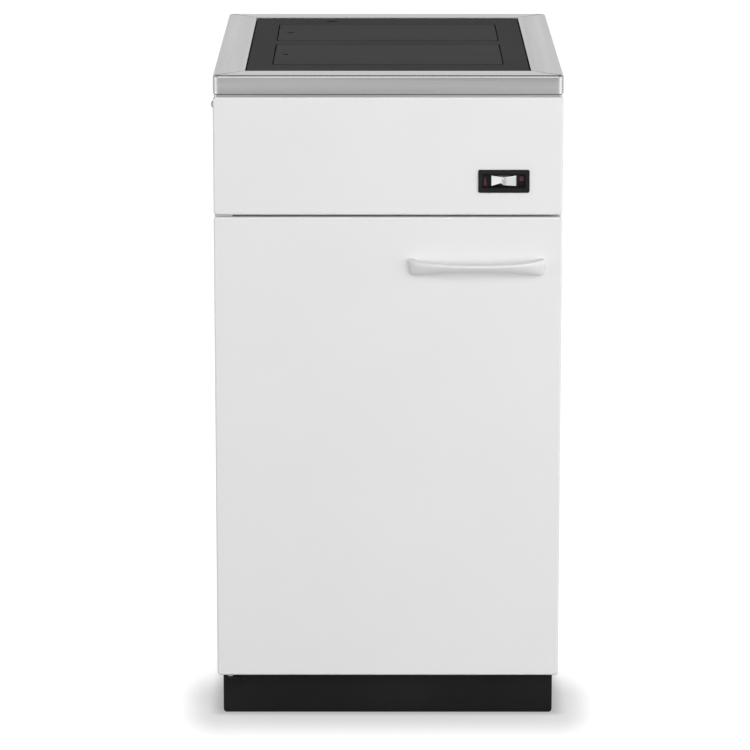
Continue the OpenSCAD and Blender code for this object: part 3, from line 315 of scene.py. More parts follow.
def brushing_group():
    """Brushed metal: long streaks along one axis of the piece."""
    made, given, result = group(
        "Brushing", [("Streaks across", VECTOR, (1.0, 1.0, 1.0)), ("Scale", NUMBER, 600.0)],
        ["Height", "Streaks"])
    place = add(made, "ShaderNodeTexCoord")
    stretch = add(made, "ShaderNodeVectorMath", operation="MULTIPLY")
    fine, broad = noise(made, 5), noise(made, 2)
    slower = math_node(made, "MULTIPLY", {1: 0.12})
    wire(made,
         (place, "Object", stretch, 0), (given, "Streaks across", stretch, 1),
         (stretch, "Vector", fine, "Vector"), (stretch, "Vector", broad, "Vector"),
         (given, "Scale", fine, "Scale"), (given, "Scale", slower, 0), (slower, "Value", broad, "Scale"),
         (fine, "Fac", result, "Height"), (broad, "Fac", result, "Streaks"))
    return made


def wear_group():
    """Wear: a mask that is strong on sharp edges and broken up by noise."""
    made, given, result = group(
        "Edge wear", [("Width", NUMBER, 0.8 * MM), ("Breakup scale", NUMBER, 140.0)], ["Mask"])
    place = add(made, "ShaderNodeTexCoord")
    rounded = add(made, "ShaderNodeBevel", samples=4)
    straight = add(made, "ShaderNodeNewGeometry")
    turned = add(made, "ShaderNodeVectorMath", operation="DOT_PRODUCT")
    breakup = noise(made, 4)
    edge, chips = remap(made, 0.995, 0.85), remap(made, 0.42, 0.6)
    both = math_node(made, "MULTIPLY")
    wire(made,
         (given, "Width", rounded, "Radius"),
         (rounded, "Normal", turned, 0), (straight, "Normal", turned, 1), (turned, "Value", edge, "Value"),
         (place, "Object", breakup, "Vector"), (given, "Breakup scale", breakup, "Scale"),
         (breakup, "Fac", chips, "Value"),
         (edge, "Result", both, 0), (chips, "Result", both, 1), (both, "Value", result, "Mask"))
    return made


def upright_group():
    """A mask of the faces that stand upright, such as the walls of a gap; the hob's finishes paint shade
    with it.
    """
    made, _, result = group("Upright faces", [], ["Mask"])
    face = add(made, "ShaderNodeNewGeometry")
    parts = add(made, "ShaderNodeSeparateXYZ")
    level, mask = math_node(made, "ABSOLUTE"), remap(made, 0.6, 0.3)
    wire(made,
         (face, "True Normal", parts, "Vector"), (parts, "Z", level, 0), (level, "Value", mask, "Value"),
         (mask, "Result", result, "Mask"))
    return made


GRAIN, BRUSHING, WEAR, UPRIGHT = grain_group(), brushing_group(), wear_group(), upright_group()


# ---------------------------------------------------------------- materials

WANDER = 0.05                        # how far a roughness wanders to either side


def shade(colour, factor):
    return [part * factor for part in colour]


class Finish:
    """A material with one Principled BSDF, its slot in the record, and steps that link patterns in."""

    def __init__(self, name, slot, colour, roughness, specular=0.5, metallic=0.0):
        self.slot = slot
        self.material = bpy.data.materials.new(name)
        self.material.use_nodes = True
        self.material.diffuse_color = (*colour, 1)
        self.tree = self.material.node_tree
        self.shader = self.tree.nodes["Principled BSDF"]
        for socket, value in (("Base Color", (*colour, 1)), ("Roughness", roughness),
                              ("Specular IOR Level", specular), ("Metallic", metallic)):
            self.shader.inputs[socket].default_value = value

    def place(self, pattern, sockets=None):
        """Adds one of the shader groups."""
        return add(self.tree, "ShaderNodeGroup", sockets, node_tree=pattern)

    def colours(self, node, output, low, high, start=0.35, end=0.65):
        """Spreads a mask between two colours."""
        ramp = add(self.tree, "ShaderNodeValToRGB")
        for element, position, colour in zip(ramp.color_ramp.elements, (start, end), (low, high)):
            element.position, element.color = position, (*colour, 1)
        wire(self.tree, (node, output, ramp, "Fac"), (ramp, "Color", self.shader, "Base Color"))
        return ramp

    def mix_in(self, ramp, mask, colour):
        """Lays a second colour over the first where a group's mask is strong."""
        mix = add(self.tree, "ShaderNodeMix", {"B": (*colour, 1)}, data_type="RGBA")
        wire(self.tree, (mask, "Mask", mix, "Factor"), (ramp, "Color", mix, "A"),
             (mix, "Result", self.shader, "Base Color"))

    def roughen(self, node, output, low, high, start=0.3, end=0.7):
        """Spreads a mask between two roughnesses."""
        span = remap(self.tree, start, end, low, high)
        wire(self.tree, (node, output, span, "Value"), (span, "Result", self.shader, "Roughness"))

    def bump(self, node, depth, output="Height"):
        """Raises the surface by a pattern's height."""
        relief = add(self.tree, "ShaderNodeBump", {"Strength": 1.0, "Distance": depth})
        wire(self.tree, (node, output, relief, "Height"), (relief, "Normal", self.shader, "Normal"))


def sprayed(name, slot, colour, roughness, depth, grain, tint=0.985, specular=0.5):
    """Paint, enamel or moulded plastic: grain, faint blotches and a roughness that wanders a little."""
    made = Finish(name, slot, colour, roughness, specular)
    pattern = made.place(GRAIN, {"Grain scale": grain, "Blotch scale": 6.0})
    made.colours(pattern, "Blotches", shade(colour, tint), colour)
    made.roughen(pattern, "Blotches", roughness - WANDER, roughness + WANDER)
    made.bump(pattern, depth)
    return made


def brushed(name, slot, colour, roughness, across, scale=500.0, depth=0.02 * MM, wander=WANDER, tint=0.9):
    """Brushed or drawn metal, with streaks square to the axes that are given as large numbers."""
    made = Finish(name, slot, colour, roughness, metallic=1.0)
    pattern = made.place(BRUSHING, {"Streaks across": across, "Scale": scale})
    made.colours(pattern, "Streaks", shade(colour, tint), colour)
    made.roughen(pattern, "Streaks", roughness - wander, roughness + wander)
    made.bump(pattern, depth)
    return made


def worn_cast():
    """Painted cast iron: sandy grain, with the paint worn thin along its edges."""
    colour, roughness, wander = (0.045, 0.045, 0.047), 0.62, 0.08
    made = Finish("cast_black", "cast_black", colour, roughness, specular=0.35)
    pattern = made.place(GRAIN, {"Grain scale": 420.0, "Blotch scale": 14.0})
    ramp = made.colours(pattern, "Blotches", shade(colour, 0.8), colour)
    made.mix_in(ramp, made.place(WEAR), (0.12, 0.115, 0.11))
    made.roughen(pattern, "Blotches", roughness - wander, roughness + wander)
    made.bump(pattern, 0.18 * MM)
    return made


def ground_steel(name, tone):
    """Dark hob steel: satin, with faint grinding marks, a cloudy tone from the heat and painted shade on
    the upright walls of its gaps.
    """
    grey = (tone, tone, tone * 1.03)
    made = Finish(name, "hob_steel", grey, 0.6, specular=0.012)
    marks = made.place(BRUSHING, {"Streaks across": (0.06, 1.0, 1.0), "Scale": 900.0})
    cloud = made.place(GRAIN, {"Grain scale": 1200.0, "Blotch scale": 5.0})
    ramp = made.colours(cloud, "Blotches", (tone * 0.88, tone * 0.88, tone * 0.91),
                        (tone * 1.1, tone * 1.1, tone * 1.13))
    # painted shade: the upright walls of the gaps are darkened almost to black
    made.mix_in(ramp, made.place(UPRIGHT), (0.002, 0.002, 0.002))
    made.roughen(cloud, "Blotches", 0.50, 0.60)
    made.bump(marks, 0.02 * MM)
    return made


def spangled_sheet():
    """Galvanised sheet with its frost-like spangle."""
    made = Finish("galvanised", "galvanised", (0.52, 0.54, 0.56), 0.42, metallic=1.0)
    place = add(made.tree, "ShaderNodeTexCoord")
    spangle = add(made.tree, "ShaderNodeTexVoronoi", {"Scale": 170.0})
    grey = add(made.tree, "ShaderNodeRGBToBW")
    wire(made.tree, (place, "Object", spangle, "Vector"), (spangle, "Color", grey, "Color"))
    made.colours(grey, "Val", (0.50, 0.52, 0.54), (0.58, 0.60, 0.62), 0.2, 0.8)
    made.roughen(grey, "Val", 0.36, 0.48, 0.2, 0.8)
    made.bump(made.place(GRAIN, {"Grain scale": 500.0}), 0.01 * MM)
    return made


def blotchy(name, slot, colour, roughness, grain, blotch, low, high, depth, *ends):
    """Brick or pressed board: coarse grain and blotches between two colours."""
    made = Finish(name, slot, colour, roughness)
    pattern = made.place(GRAIN, {"Grain scale": grain, "Blotch scale": blotch})
    made.colours(pattern, "Blotches", low, high, *ends)
    made.bump(pattern, depth)
    return made


def woven_rope():
    """Woven fire rope: dark strands that cross each other."""
    made = Finish("fire_rope", "rope", (0.07, 0.068, 0.065), 0.95)
    place = add(made.tree, "ShaderNodeTexCoord")
    weave = math_node(made.tree, "MAXIMUM")
    for strand, turn in enumerate((0.785, -0.785)):
        lay = add(made.tree, "ShaderNodeMapping", {"Rotation": (turn, turn, turn)})
        wave = add(made.tree, "ShaderNodeTexWave", {"Scale": 130.0, "Distortion": 1.0})
        wire(made.tree, (place, "Object", lay, "Vector"), (lay, "Vector", wave, "Vector"),
             (wave, "Fac", weave, strand))
    made.colours(weave, "Value", (0.03, 0.03, 0.03), (0.12, 0.115, 0.11), 0.2, 0.9)
    made.bump(weave, 0.6 * MM, "Value")
    return made


enamel = sprayed("white_enamel", "white_enamel", (0.80, 0.80, 0.80), 0.34, 0.012 * MM, 420.0, tint=0.992)
handle_white = sprayed("handle_white", "white_handle", (0.79, 0.79, 0.79), 0.5, 0.008 * MM, 700.0,
                       tint=0.992, specular=0.35)
black_paint = sprayed("black_paint", "black_paint", (0.0122, 0.0122, 0.0127), 0.40, 0.02 * MM, 900.0,
                      tint=0.75, specular=0.12)
# A flat near-black finish that paints the shade inside the frame's mitre gaps.
painted_joint_shade = sprayed("painted_joint_shade", "black_paint", (0.03, 0.03, 0.03), 0.9, 0.02 * MM, 900.0,
                    tint=0.7, specular=0.0)
bezel_black = sprayed("bezel_black", "black_plastic", (0.011, 0.011, 0.012), 0.34, 0.015 * MM, 1400.0,
                      tint=0.8, specular=0.16)
slide_black = sprayed("slide_black", "black_plastic", (0.012, 0.012, 0.013), 0.22, 0.008 * MM, 1400.0,
                      tint=0.8)
red_mark = sprayed("red_mark", "black_plastic", (0.13, 0.012, 0.028), 0.45, 0.01 * MM, 900.0, tint=0.8)
nylon = sprayed("nylon", "nylon", (0.70, 0.68, 0.62), 0.5, 0.01 * MM, 900.0)
# All four rails are the same brushed steel, brushed along each rail; the side rails' darker colour is
# painted shade.
steel_along_x = brushed("stainless_along_x", "stainless", (0.47, 0.47, 0.475), 0.28, (0.02, 1.0, 1.0))
steel_along_y = brushed("stainless_along_y", "stainless", (0.43, 0.43, 0.435), 0.28, (1.0, 0.02, 1.0))
zinc = brushed("zinc_plate", "zinc", (0.55, 0.56, 0.57), 0.32, (1.0, 1.0, 1.0), scale=260.0, tint=0.85)
screw_steel = brushed("screw_steel", "zinc", (0.34, 0.34, 0.345), 0.26, (1.0, 1.0, 1.0), scale=420.0,
                      tint=0.85)
polished = brushed("polished_steel", "polished", (0.76, 0.76, 0.76), 0.12, (1.0, 0.2, 1.0), scale=120.0,
                   depth=0.004 * MM, wander=0.03, tint=0.97)
hob_steel, cover_steel = ground_steel("hob_steel", 0.041), ground_steel("cover_steel", 0.053)
cast_black, galvanised, fire_rope = worn_cast(), spangled_sheet(), woven_rope()
firebrick = blotchy("firebrick", "firebrick", (0.56, 0.44, 0.30), 0.9, 260.0, 30.0,
                    (0.46, 0.35, 0.23), (0.62, 0.50, 0.36), 0.6 * MM, 0.3, 0.7)
board = blotchy("mineral_board", "mineral_board", (0.66, 0.62, 0.5), 0.95, 700.0, 60.0,
                (0.58, 0.54, 0.42), (0.72, 0.68, 0.57), 0.5 * MM)

FINISHES = {
    enamel: ["side_panel_left", "side_panel_right", "fascia", "door_skin"],
    handle_white: ["door_handle"],
    black_paint: ["plinth", "lower_hinge_bracket", "lower_hinge_pin", "front_surround", "foot_front_left",
                  "foot_front_right", "foot_rear_left", "foot_rear_right"],
    bezel_black: ["slide_bezel", "door_magnet"],
    steel_along_x: ["frame_front_rail", "frame_rear_rail"],
    steel_along_y: ["frame_left_rail", "frame_right_rail"],
    polished: ["damper_grip"],
    screw_steel: ["casing_screws", "door_screws"],
    zinc: ["foot_sockets", "damper_rod", "upper_hinge_bracket", "fire_door_pins",
           "fire_door_latch", "air_slide", "shaker_rod"],
    cast_black: ["hob_rim", "fire_front", "fire_front_lugs", "firebox_walls", "firebox_back",
                 "firebox_floor", "grate_carrier", "ash_runners", "baffle", "flue_collar",
                 "fire_door_leaf", "ash_front", "grate", "damper_gate"],
    hob_steel: ["hob_plate"],
    cover_steel: ["front_cover", "rear_cover"],
    galvanised: ["back_panel", "base_plate", "fascia_brackets", "ash_shelf", "flue_rosette",
                 "heat_shields", "damper_guide", "door_liner", "ash_pan"],
    firebrick: ["fire_bricks"],
    fire_rope: ["hob_seal", "fire_door_seal"],
    board: ["door_insulation"],
    nylon: ["hinge_bushes"],
}
FINISH_OF = {node: finish for finish, nodes in FINISHES.items() for node in nodes}
plain = sorted(set(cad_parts) - set(FINISH_OF))
if plain:
    raise SystemExit(f"no finish is given for {plain}")
for node, finish in FINISH_OF.items():
    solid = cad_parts[node]
    if not solid.data.materials:
        solid.data.materials.append(finish.material)
    for slot in solid.material_slots:
        slot.material = finish.material


# ---------------------------------------------------------------- sheet-metal casing

SHEET = 1.5 * MM
FRONT_FOLD, SIDE_FOLD = 2.5 * MM, 1.6 * MM           # rounding of a sheet's folded edges
FRONT_CORNER = 4.5 * MM                              # round corners of the door and the fascia
DOOR_LIP, SIDE_LIP = 14 * MM, 15 * MM                # width of the lip behind a sheet's folded sides
SIDE_DEPTH = 16.5 * MM                               # how far a side panel is folded inwards
CUP_HALF_W, CUP_HALF_H = 28.9 * MM, 9.9 * MM         # half the fascia's opening for the slide's cup


def folded_sheet(name, low, high, face, fold, corner=0.0, lip=0.0):
    """A sheet folded to a tray: a face, four sides, and a lip that turns in behind them."""
    face = Vector(face)
    piece = block(name, low, high)
    if corner:
        pick(piece, "EDGE", runs_along(face))
        round_off(corner, 6)
    pick(piece, "EDGE", bounds_face(face))
    round_off(fold, 5)
    pick(piece, "FACE", faces_towards(-face))
    if lip:
        draw_in(*[0 if abs(part) > 0.5 else lip for part in face])
    bpy.ops.mesh.delete(type="FACE")
    thicken(piece, SHEET)
    return piece


def around_window(half_w, half_h, front, back):
    """The corners of a box round the middle of the slide's window."""
    return (window.x - half_w, front, window.z - half_h), (window.x + half_w, back, window.z + half_h)


low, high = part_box("door_skin")
door_face = low.y
door_leaf = folded_sheet("cover_door_sheet", low, high, (0, -1, 0), FRONT_FOLD, FRONT_CORNER,
                         lip=DOOR_LIP)
dress(door_leaf, enamel, "cover_door", "door_skin")

bezel_low, bezel_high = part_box("slide_bezel")
window = (bezel_low + bezel_high) / 2
fascia = folded_sheet("fascia_sheet", *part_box("fascia"), (0, -1, 0), FRONT_FOLD, FRONT_CORNER)
cut(fascia, block("cup_cutter", *around_window(CUP_HALF_W, CUP_HALF_H,
                                               door_face - PAST, door_face + PAST)))
dress(fascia, enamel, "cooker", "fascia")


# ---------------------------------------------------------------- hob frame

INWARDS = {"front": Vector((0, 1, 0)), "rear": Vector((0, -1, 0)),
           "left": Vector((1, 0, 0)), "right": Vector((-1, 0, 0))}
FLANGE, FLANGE_DROP = 40 * MM, 14 * MM               # the flat top's width, and its fold round the hob
FRAME_CORNER, FRAME_BEND, INNER_BEND = 8 * MM, 2.8 * MM, 1.0 * MM
LIP_H, LIP_INSET, LIP_CORNER, LIP_GAP = 4 * MM, 2 * MM, 3 * MM, 1.1 * MM     # the lip and the gap above it
SEAM = 0.02 * MM                                     # half the gap between two rails
JOINT = 1.8 * MM                                     # how far a mitre's joint opens at the outer corner
JOINT_REACH = 55 * MM                                # how far in a joint would have closed
STRIP_OUTER, STRIP_INNER = (5.4 * MM, 1.8 * MM), (56.4 * MM, 0.8 * MM)   # way in along a joint, half width
STRIP_TOP, STRIP_FOOT = 0.05 * MM, 1.2 * MM          # how far under the frame's top a joint's strip lies


def top_edge(height, outside):
    """Tests for the upper edges of a ring, either round its outside or round its opening."""
    def test(edge):
        walls = [face for face in edge.link_faces if abs(face.normal.z) < 0.1]
        level = all(abs(corner.co.z - height) < TINY for corner in edge.verts)
        if not level or len(walls) != 1:
            return False
        outwards = walls[0].normal.dot(walls[0].calc_center_median() * Vector((1, 1, 0))) > 0
        return outwards == outside
    return test


def frame_ring(low, high):
    """The frame as one folded ring with its set-in lower lip, before the mitres are cut."""
    ring = block("frame_ring", (low.x, low.y, low.z + LIP_H), high)
    open_up(ring, faces_towards((0, 0, -1)))
    pick(ring, "FACE", faces_towards((0, 0, 1)))
    draw_in(by_x=FLANGE, by_y=FLANGE)
    push(z=-FLANGE_DROP)
    bpy.ops.mesh.delete(type="FACE")
    pick(ring, "EDGE", outer((0, 0, 1), low, high))
    round_off(FRAME_CORNER, 8)
    pick(ring, "EDGE", top_edge(high.z, outside=True))
    round_off(FRAME_BEND, 5)
    pick(ring, "EDGE", top_edge(high.z, outside=False))
    round_off(INNER_BEND, 3)
    thicken(ring, SHEET)
    inset = Vector((LIP_INSET, LIP_INSET, 0))
    lip = block("frame_lip", low + inset, Vector((high.x, high.y, low.z + LIP_H - LIP_GAP)) - inset)
    pick(lip, "EDGE", runs_along((0, 0, 1)))
    round_off(LIP_CORNER, 6)
    open_up(lip, lambda face: abs(face.normal.z) > 0.9)
    thicken(lip, SHEET)
    return join(ring, lip)


def mitred_rail(ring, side, low, high):
    """Cuts one rail out of a copy of the ring along its two mitres."""
    rail = copy_of(ring, f"frame_{side}_sheet")
    inwards = INWARDS[side]
    along = Vector((abs(inwards.y), abs(inwards.x), 0))
    size, middle = high - low, (low + high) / 2
    for end in (-1, 1):
        corner = middle - inwards * abs(size.dot(inwards)) / 2 + along * end * size.dot(along) / 2
        normal = (along * end + inwards).normalized()
        pick(rail, "VERT", lambda point: True)
        bpy.ops.mesh.bisect(plane_co=corner - normal * SEAM, plane_no=normal, use_fill=True,
                            clear_outer=True)
        mesh = bmesh.from_edit_mesh(rail.data)
        for point in mesh.verts:
            off_flange = min(abs(point.co.z - high.z), abs(point.co.z - high.z + SHEET))
            if off_flange < SEAM and abs((point.co - corner).dot(normal)) < 2 * SEAM:
                depth = (point.co - corner).dot(inwards)
                point.co -= along * end * JOINT * (1 - depth / JOINT_REACH)
        bmesh.update_edit_mesh(rail.data)
    return rail


def joint_strip(corner, way):
    """A painted shade for a mitre's gap: a thin dark strip in the joint, wide at the outer corner and slim
    inside.
    """
    side = Vector((-way.y, way.x, 0))
    strip = block("frame_joint_strip", (-1, -1, -1), (1, 1, 1))
    mesh = edit(strip)
    for point in mesh.verts:
        way_in, half_width = STRIP_OUTER if point.co.x < 0 else STRIP_INNER
        below_top = STRIP_TOP if point.co.z > 0 else STRIP_FOOT
        point.co = corner + way * way_in + side * half_width * point.co.y
        point.co.z = corner.z - below_top
    make_outwards()
    soften(strip, 0.03 * MM, segments=1)
    return strip


boxes = [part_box(f"frame_{side}_rail") for side in INWARDS]
frame_low = Vector(map(min, *(box[0] for box in boxes)))
frame_high = Vector(map(max, *(box[1] for box in boxes)))
ring = frame_ring(frame_low, frame_high)
for side in INWARDS:
    node = f"frame_{side}_rail"
    dress(mitred_rail(ring, side, frame_low, frame_high), FINISH_OF[node], "cooker", node)
bpy.data.objects.remove(ring)
# Dark strips in the four mitres paint the shade of their gaps.
strips = [joint_strip(Vector((x, y, frame_high.z)),
                      Vector((math.copysign(1, -x), math.copysign(1, -y), 0)).normalized())
          for x in (frame_low.x, frame_high.x) for y in (frame_low.y, frame_high.y)]
dress(join(*strips), painted_joint_shade, "cooker")


# ---------------------------------------------------------------- hob plate and covers

COVER_RIM, LEDGE = 5 * MM, 6 * MM    # thickness of a cover's rim, and how far the rim rests on the hob
COVER_GAP, FINGER_GAP = 1.4 * MM, 2.6 * MM           # the gap round a cover, and along its front edge
HOB_CORNER, COVER_CORNER, SEAT_CORNER = 3 * MM, 4 * MM, 5 * MM
HOB_WEAR = 0.5 * MM                  # softening of the hob's and the covers' edges
SLOT_W = 6 * MM                      # the lifting hook's slots
HOB_SLOT_X, HOB_SLOT_L = -77 * MM, 15 * MM
HOLE_IN, HOLE_R = 13.5 * MM, 3.5 * MM                # the front cover's hole, in from its left edge
SLOT_IN, SLOT_L = 16 * MM, 11 * MM                   # the rear cover's slot


def plate(name, low, high, corner):
    """A flat plate with round corners."""
    piece = block(name, low, high)
    pick(piece, "EDGE", runs_along((0, 0, 1)))
    round_off(corner, 6)
    let_go()
    return piece


def grown(low, high, by, bottom, top):
    """The corners of a box that is wider all round, between two heights."""
    return (low.x - by, low.y - by, bottom), (high.x + by, high.y + by, top)


def slot_cutter(x, y, length):
    """A round-ended slot through the hob for the lifting hook."""
    return plate("slot_cutter", (x - length / 2, y - SLOT_W / 2, hob_low.z - PAST),
                 (x + length / 2, y + SLOT_W / 2, hob_high.z + PAST), SLOT_W / 2 - 0.01 * MM)


def cover(name, low, high):
    """A cover plate: a flat rim and, under it, the plug that drops into the hob's hole."""
    piece = plate(name, (low.x, low.y, high.z - COVER_RIM), high, COVER_CORNER)
    pick(piece, "FACE", faces_towards((0, 0, -1)))
    bpy.ops.mesh.inset(thickness=LEDGE + COVER_GAP)
    push(z=low.z - high.z + COVER_RIM)
    return piece


hob_low, hob_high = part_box("hob_plate")
covers = {name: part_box(name) for name in ("front_cover", "rear_cover")}
hob = plate("hob_plate_machined", hob_low, hob_high, HOB_CORNER)
finger_room = Vector((0, FINGER_GAP - COVER_GAP, 0))
for low, high in covers.values():
    seat = grown(low - finger_room, high, COVER_GAP, high.z - COVER_RIM, high.z + PAST)
    hole = grown(low, high, -LEDGE, low.z - PAST, high.z + PAST)
    cut(hob, plate("seat_cutter", *seat, SEAT_CORNER), plate("hole_cutter", *hole, COVER_CORNER))
cut(hob, slot_cutter(HOB_SLOT_X, (covers["rear_cover"][1].y + hob_high.y) / 2, HOB_SLOT_L))
soften(hob, HOB_WEAR)
dress(hob, hob_steel, "hob_plate", "hob_plate")

for name, (low, high) in covers.items():
    piece = cover(name + "_machined", low, high)
    middle_y = (low.y + high.y) / 2
    if name == "front_cover":
        hook = disc("hole_cutter", (low.x + HOLE_IN, middle_y, high.z), HOLE_R, 4 * PAST, "z")
    else:
        hook = slot_cutter(low.x + SLOT_IN, middle_y, SLOT_L)
    cut(piece, hook)
    soften(piece, HOB_WEAR)
    dress(piece, cover_steel, name, name)


# ---------------------------------------------------------------- door handle

FOOT_W, BAR_D, WAIST_H = 12 * MM, 8 * MM, 11.2 * MM  # a foot's width, the bar's depth and slimmest height
STATIONS, BAR_SIDES = 72, 40                         # cross-sections along the bar, corners in each
BLANK_R = 10 * MM                                    # of the round bar that is then shaped corner by corner
ARCH_POWER, SQUARENESS = 0.84, 4.2                   # how full the arch is, and how square a section is
SLIMMING = 1.6                                       # how quickly the bar slims away from its feet
STEP = 0.01                                          # radians to either side, for the bar's direction
TUCK, FOOT_TUCK = 0.8, 0.2                           # how far its lower front edge is turned under


def signed_power(value, power):
    return math.copysign(abs(value) ** power, value)


def bow_handle(name, low, high):
    """A bar drawn out along an arch, tall at its feet, slim and turned under between them."""
    foot_h = high.z - low.z
    half = (high.x - low.x - FOOT_W) / 2
    reach = high.y - low.y - BAR_D / 2
    middle = Vector(((low.x + high.x) / 2, high.y, (low.z + high.z) / 2))

    def arch(turn):
        """A point of the arch that the bar follows, from one foot round to the other."""
        return Vector((-half * signed_power(math.cos(turn), ARCH_POWER),
                       -reach * max(math.sin(turn), 0) ** ARCH_POWER, 0))

    piece = disc(name, middle, BLANK_R, 2 * half, "x", BAR_SIDES)
    pick(piece, "EDGE", runs_along((1, 0, 0)))
    bpy.ops.mesh.subdivide(number_cuts=STATIONS - 1)
    mesh = bmesh.from_edit_mesh(piece.data)
    for corner in mesh.verts:
        turn = min(max(math.pi * ((corner.co.x - middle.x) / (2 * half) + 0.5), 0), math.pi)
        round_angle = math.atan2(corner.co.z - middle.z, corner.co.y - middle.y)
        slim = math.sin(turn) ** SLIMMING if 0 < turn < math.pi else 0.0
        tangent = arch(min(turn + STEP, math.pi)) - arch(max(turn - STEP, 0))
        across = Vector((-tangent.y, tangent.x, 0)).normalized()
        depth = FOOT_W + (BAR_D - FOOT_W) * slim
        height = foot_h + (WAIST_H - foot_h) * slim
        square = [signed_power(f(round_angle), 2 / SQUARENESS) for f in (math.cos, math.sin)]
        lower_front = (1 - square[0]) / 2 * ((1 - square[1]) / 2) ** 2
        turned = lower_front * TUCK * height * (FOOT_TUCK + (1 - FOOT_TUCK) * slim)
        corner.co = middle + arch(turn) + across * (square[0] * depth / 2 + turned)
        corner.co.z = middle.z + square[1] * height / 2
    make_outwards()
    return piece


dress(bow_handle("door_handle_bow", *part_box("door_handle")), handle_white, "cover_door", "door_handle",
      angle=50)


# ---------------------------------------------------------------- damper slide

WINDOW_W, WINDOW_H = 54.6 * MM, 16.5 * MM
CUP_FLOOR = 11 * MM                  # depth of the cup behind the door's face
RIM_STEP, RIM_SLOPE = 1.2 * MM, 1 * MM               # how far the window's edge slopes back, and its width
CUP_WALL = 0.9 * MM
STEM_ROOM_HALF_W, STEM_ROOM_HALF_H = 13.5 * MM, 3 * MM   # half the opening that the stem runs in
GRIP_HALF_W, GRIP_HALF_H, GRIP_D = 15.8 * MM, 6.9 * MM, 8.9 * MM     # the two wings together
HUB_R, HUB_L, HUB_BACK = 2.5 * MM, 3.0 * MM, 3.9 * MM    # the round hub; its middle behind the wings' front
STEM_HALF_W, STEM_HALF_H = 4 * MM, 2.5 * MM
CARRIAGE_HALF_W, CARRIAGE_HALF_H = 17.6 * MM, 7.6 * MM
CARRIAGE_FRONT, CARRIAGE_BACK = 9.2 * MM, 10.6 * MM  # both behind the door's face
MARK_OUT, MARK_IN = 0.2 * MM, 0.3 * MM               # how far a mark stands out of, and in, the cup's floor
floor_y = door_face + CUP_FLOOR


def make_bezel(low, high):
    """The bezel: a flat rim with round corners, a sloping inner edge and a cup behind the window."""
    piece = block("slide_bezel_moulded", low, (high.x, door_face, high.z))
    open_up(piece, faces_towards((0, 1, 0)))
    pick(piece, "FACE", faces_towards((0, -1, 0)))
    rim_x, rim_z = (high.x - low.x - WINDOW_W) / 2, (high.z - low.z - WINDOW_H) / 2
    draw_in(by_x=rim_x - RIM_SLOPE, by_z=rim_z - RIM_SLOPE)
    draw_in(by_x=RIM_SLOPE, by_z=RIM_SLOPE)
    bpy.ops.transform.translate(value=(0, RIM_STEP, 0))
    push(y=floor_y - low.y - RIM_STEP)
    pick(piece, "EDGE", outer((0, 1, 0), low, high))
    round_off(2.2 * MM, 5)
    thicken(piece, CUP_WALL)
    soften(piece, 0.35 * MM, angle=40)
    return piece


def make_grip():
    """The polished grip: two wings that dip to a round hub, the left one with a steep facet at its foot."""
    low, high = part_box("damper_grip")
    front, back = low.y, low.y + GRIP_D
    wings = block("damper_grip_polished", *around_window(GRIP_HALF_W, GRIP_HALF_H, front, back))
    pick(wings, "EDGE", runs_along((1, 0, 0)))
    bpy.ops.mesh.subdivide(number_cuts=7)
    pick(wings, "EDGE", runs_along((0, 0, 1)))
    bpy.ops.mesh.subdivide(number_cuts=2)
    mesh = bmesh.from_edit_mesh(wings.data)
    for corner in mesh.verts:
        left = corner.co.x < window.x
        dip = 1 - abs((corner.co.x - window.x) / GRIP_HALF_W)
        row = round(((corner.co.z - window.z) / GRIP_HALF_H + 1) / 2 * 3)
        crease = 0.62 if left else 0.04
        levels = (-1 + 0.06 * dip, -0.94 + crease * dip, 0.55 - 0.3 * dip, 1 - 0.38 * dip)
        sunk = 3.0 * dip
        if row == 0:
            sunk += 0.3 + (5.0 * math.sqrt(dip) if left else 0)
        corner.co.z = window.z + GRIP_HALF_H * levels[row]
        if corner.co.y < front + 0.1 * MM:
            corner.co.y += sunk * MM
    bmesh.update_edit_mesh(wings.data)
    soften(wings, 0.4 * MM, angle=30)
    hub = disc("hub", (window.x, front + HUB_BACK, window.z), HUB_R, HUB_L, "y")
    pick(hub, "FACE", faces_towards((0, -1, 0)))
    for ring_width, ring_depth in ((0.5, 0), (0.3, -0.9), (0.4, 0.9)):
        bpy.ops.mesh.inset(thickness=ring_width * MM, depth=ring_depth * MM)
    soften(hub, 0.12 * MM)
    stem = block("stem", *around_window(STEM_HALF_W, STEM_HALF_H, back - 1 * MM, high.y))
    soften(stem, 0.4 * MM)
    return join(wings, hub, stem)


bezel = make_bezel(bezel_low, bezel_high)
cut(bezel, block("stem_cutter", *around_window(STEM_ROOM_HALF_W, STEM_ROOM_HALF_H,
                                               bezel_high.y - PAST / 2, bezel_high.y + PAST / 2)))
dress(bezel, bezel_black, "cooker", "slide_bezel")
dress(make_grip(), polished, "damper", "damper_grip")

carriage = block("damper_carriage", *around_window(CARRIAGE_HALF_W, CARRIAGE_HALF_H,
                                                   door_face + CARRIAGE_FRONT, door_face + CARRIAGE_BACK))
pick(carriage, "FACE", faces_towards((0, -1, 0)))
bpy.ops.mesh.inset(thickness=1.2 * MM)
bpy.ops.mesh.inset(thickness=0.4 * MM, depth=-0.5 * MM)
soften(carriage, 0.5 * MM, segments=3)
dress(carriage, slide_black, "damper")

MARKS = (   # name, place beside the window's middle, width, height, foot under the middle, taper of the top
    ("open_mark", -23.5, 4.6, 12, 7.6, 0.12),
    ("shut_mark", 23.2, 5.6, 6, 1.6, 1),
)
for name, beside, width, height, below, taper in MARKS:
    left, foot = window.x + (beside - width / 2) * MM, window.z - below * MM
    mark = block(name, (left, floor_y - MARK_OUT, foot),
                 (left + width * MM, floor_y + MARK_IN, foot + height * MM))
    pick(mark, "FACE", faces_towards((0, 0, 1)))
    bpy.ops.transform.resize(value=(taper, 1, 1))
    soften(mark, 0.08 * MM)
    dress(mark, red_mark, "cooker")


# ---------------------------------------------------------------- side panels

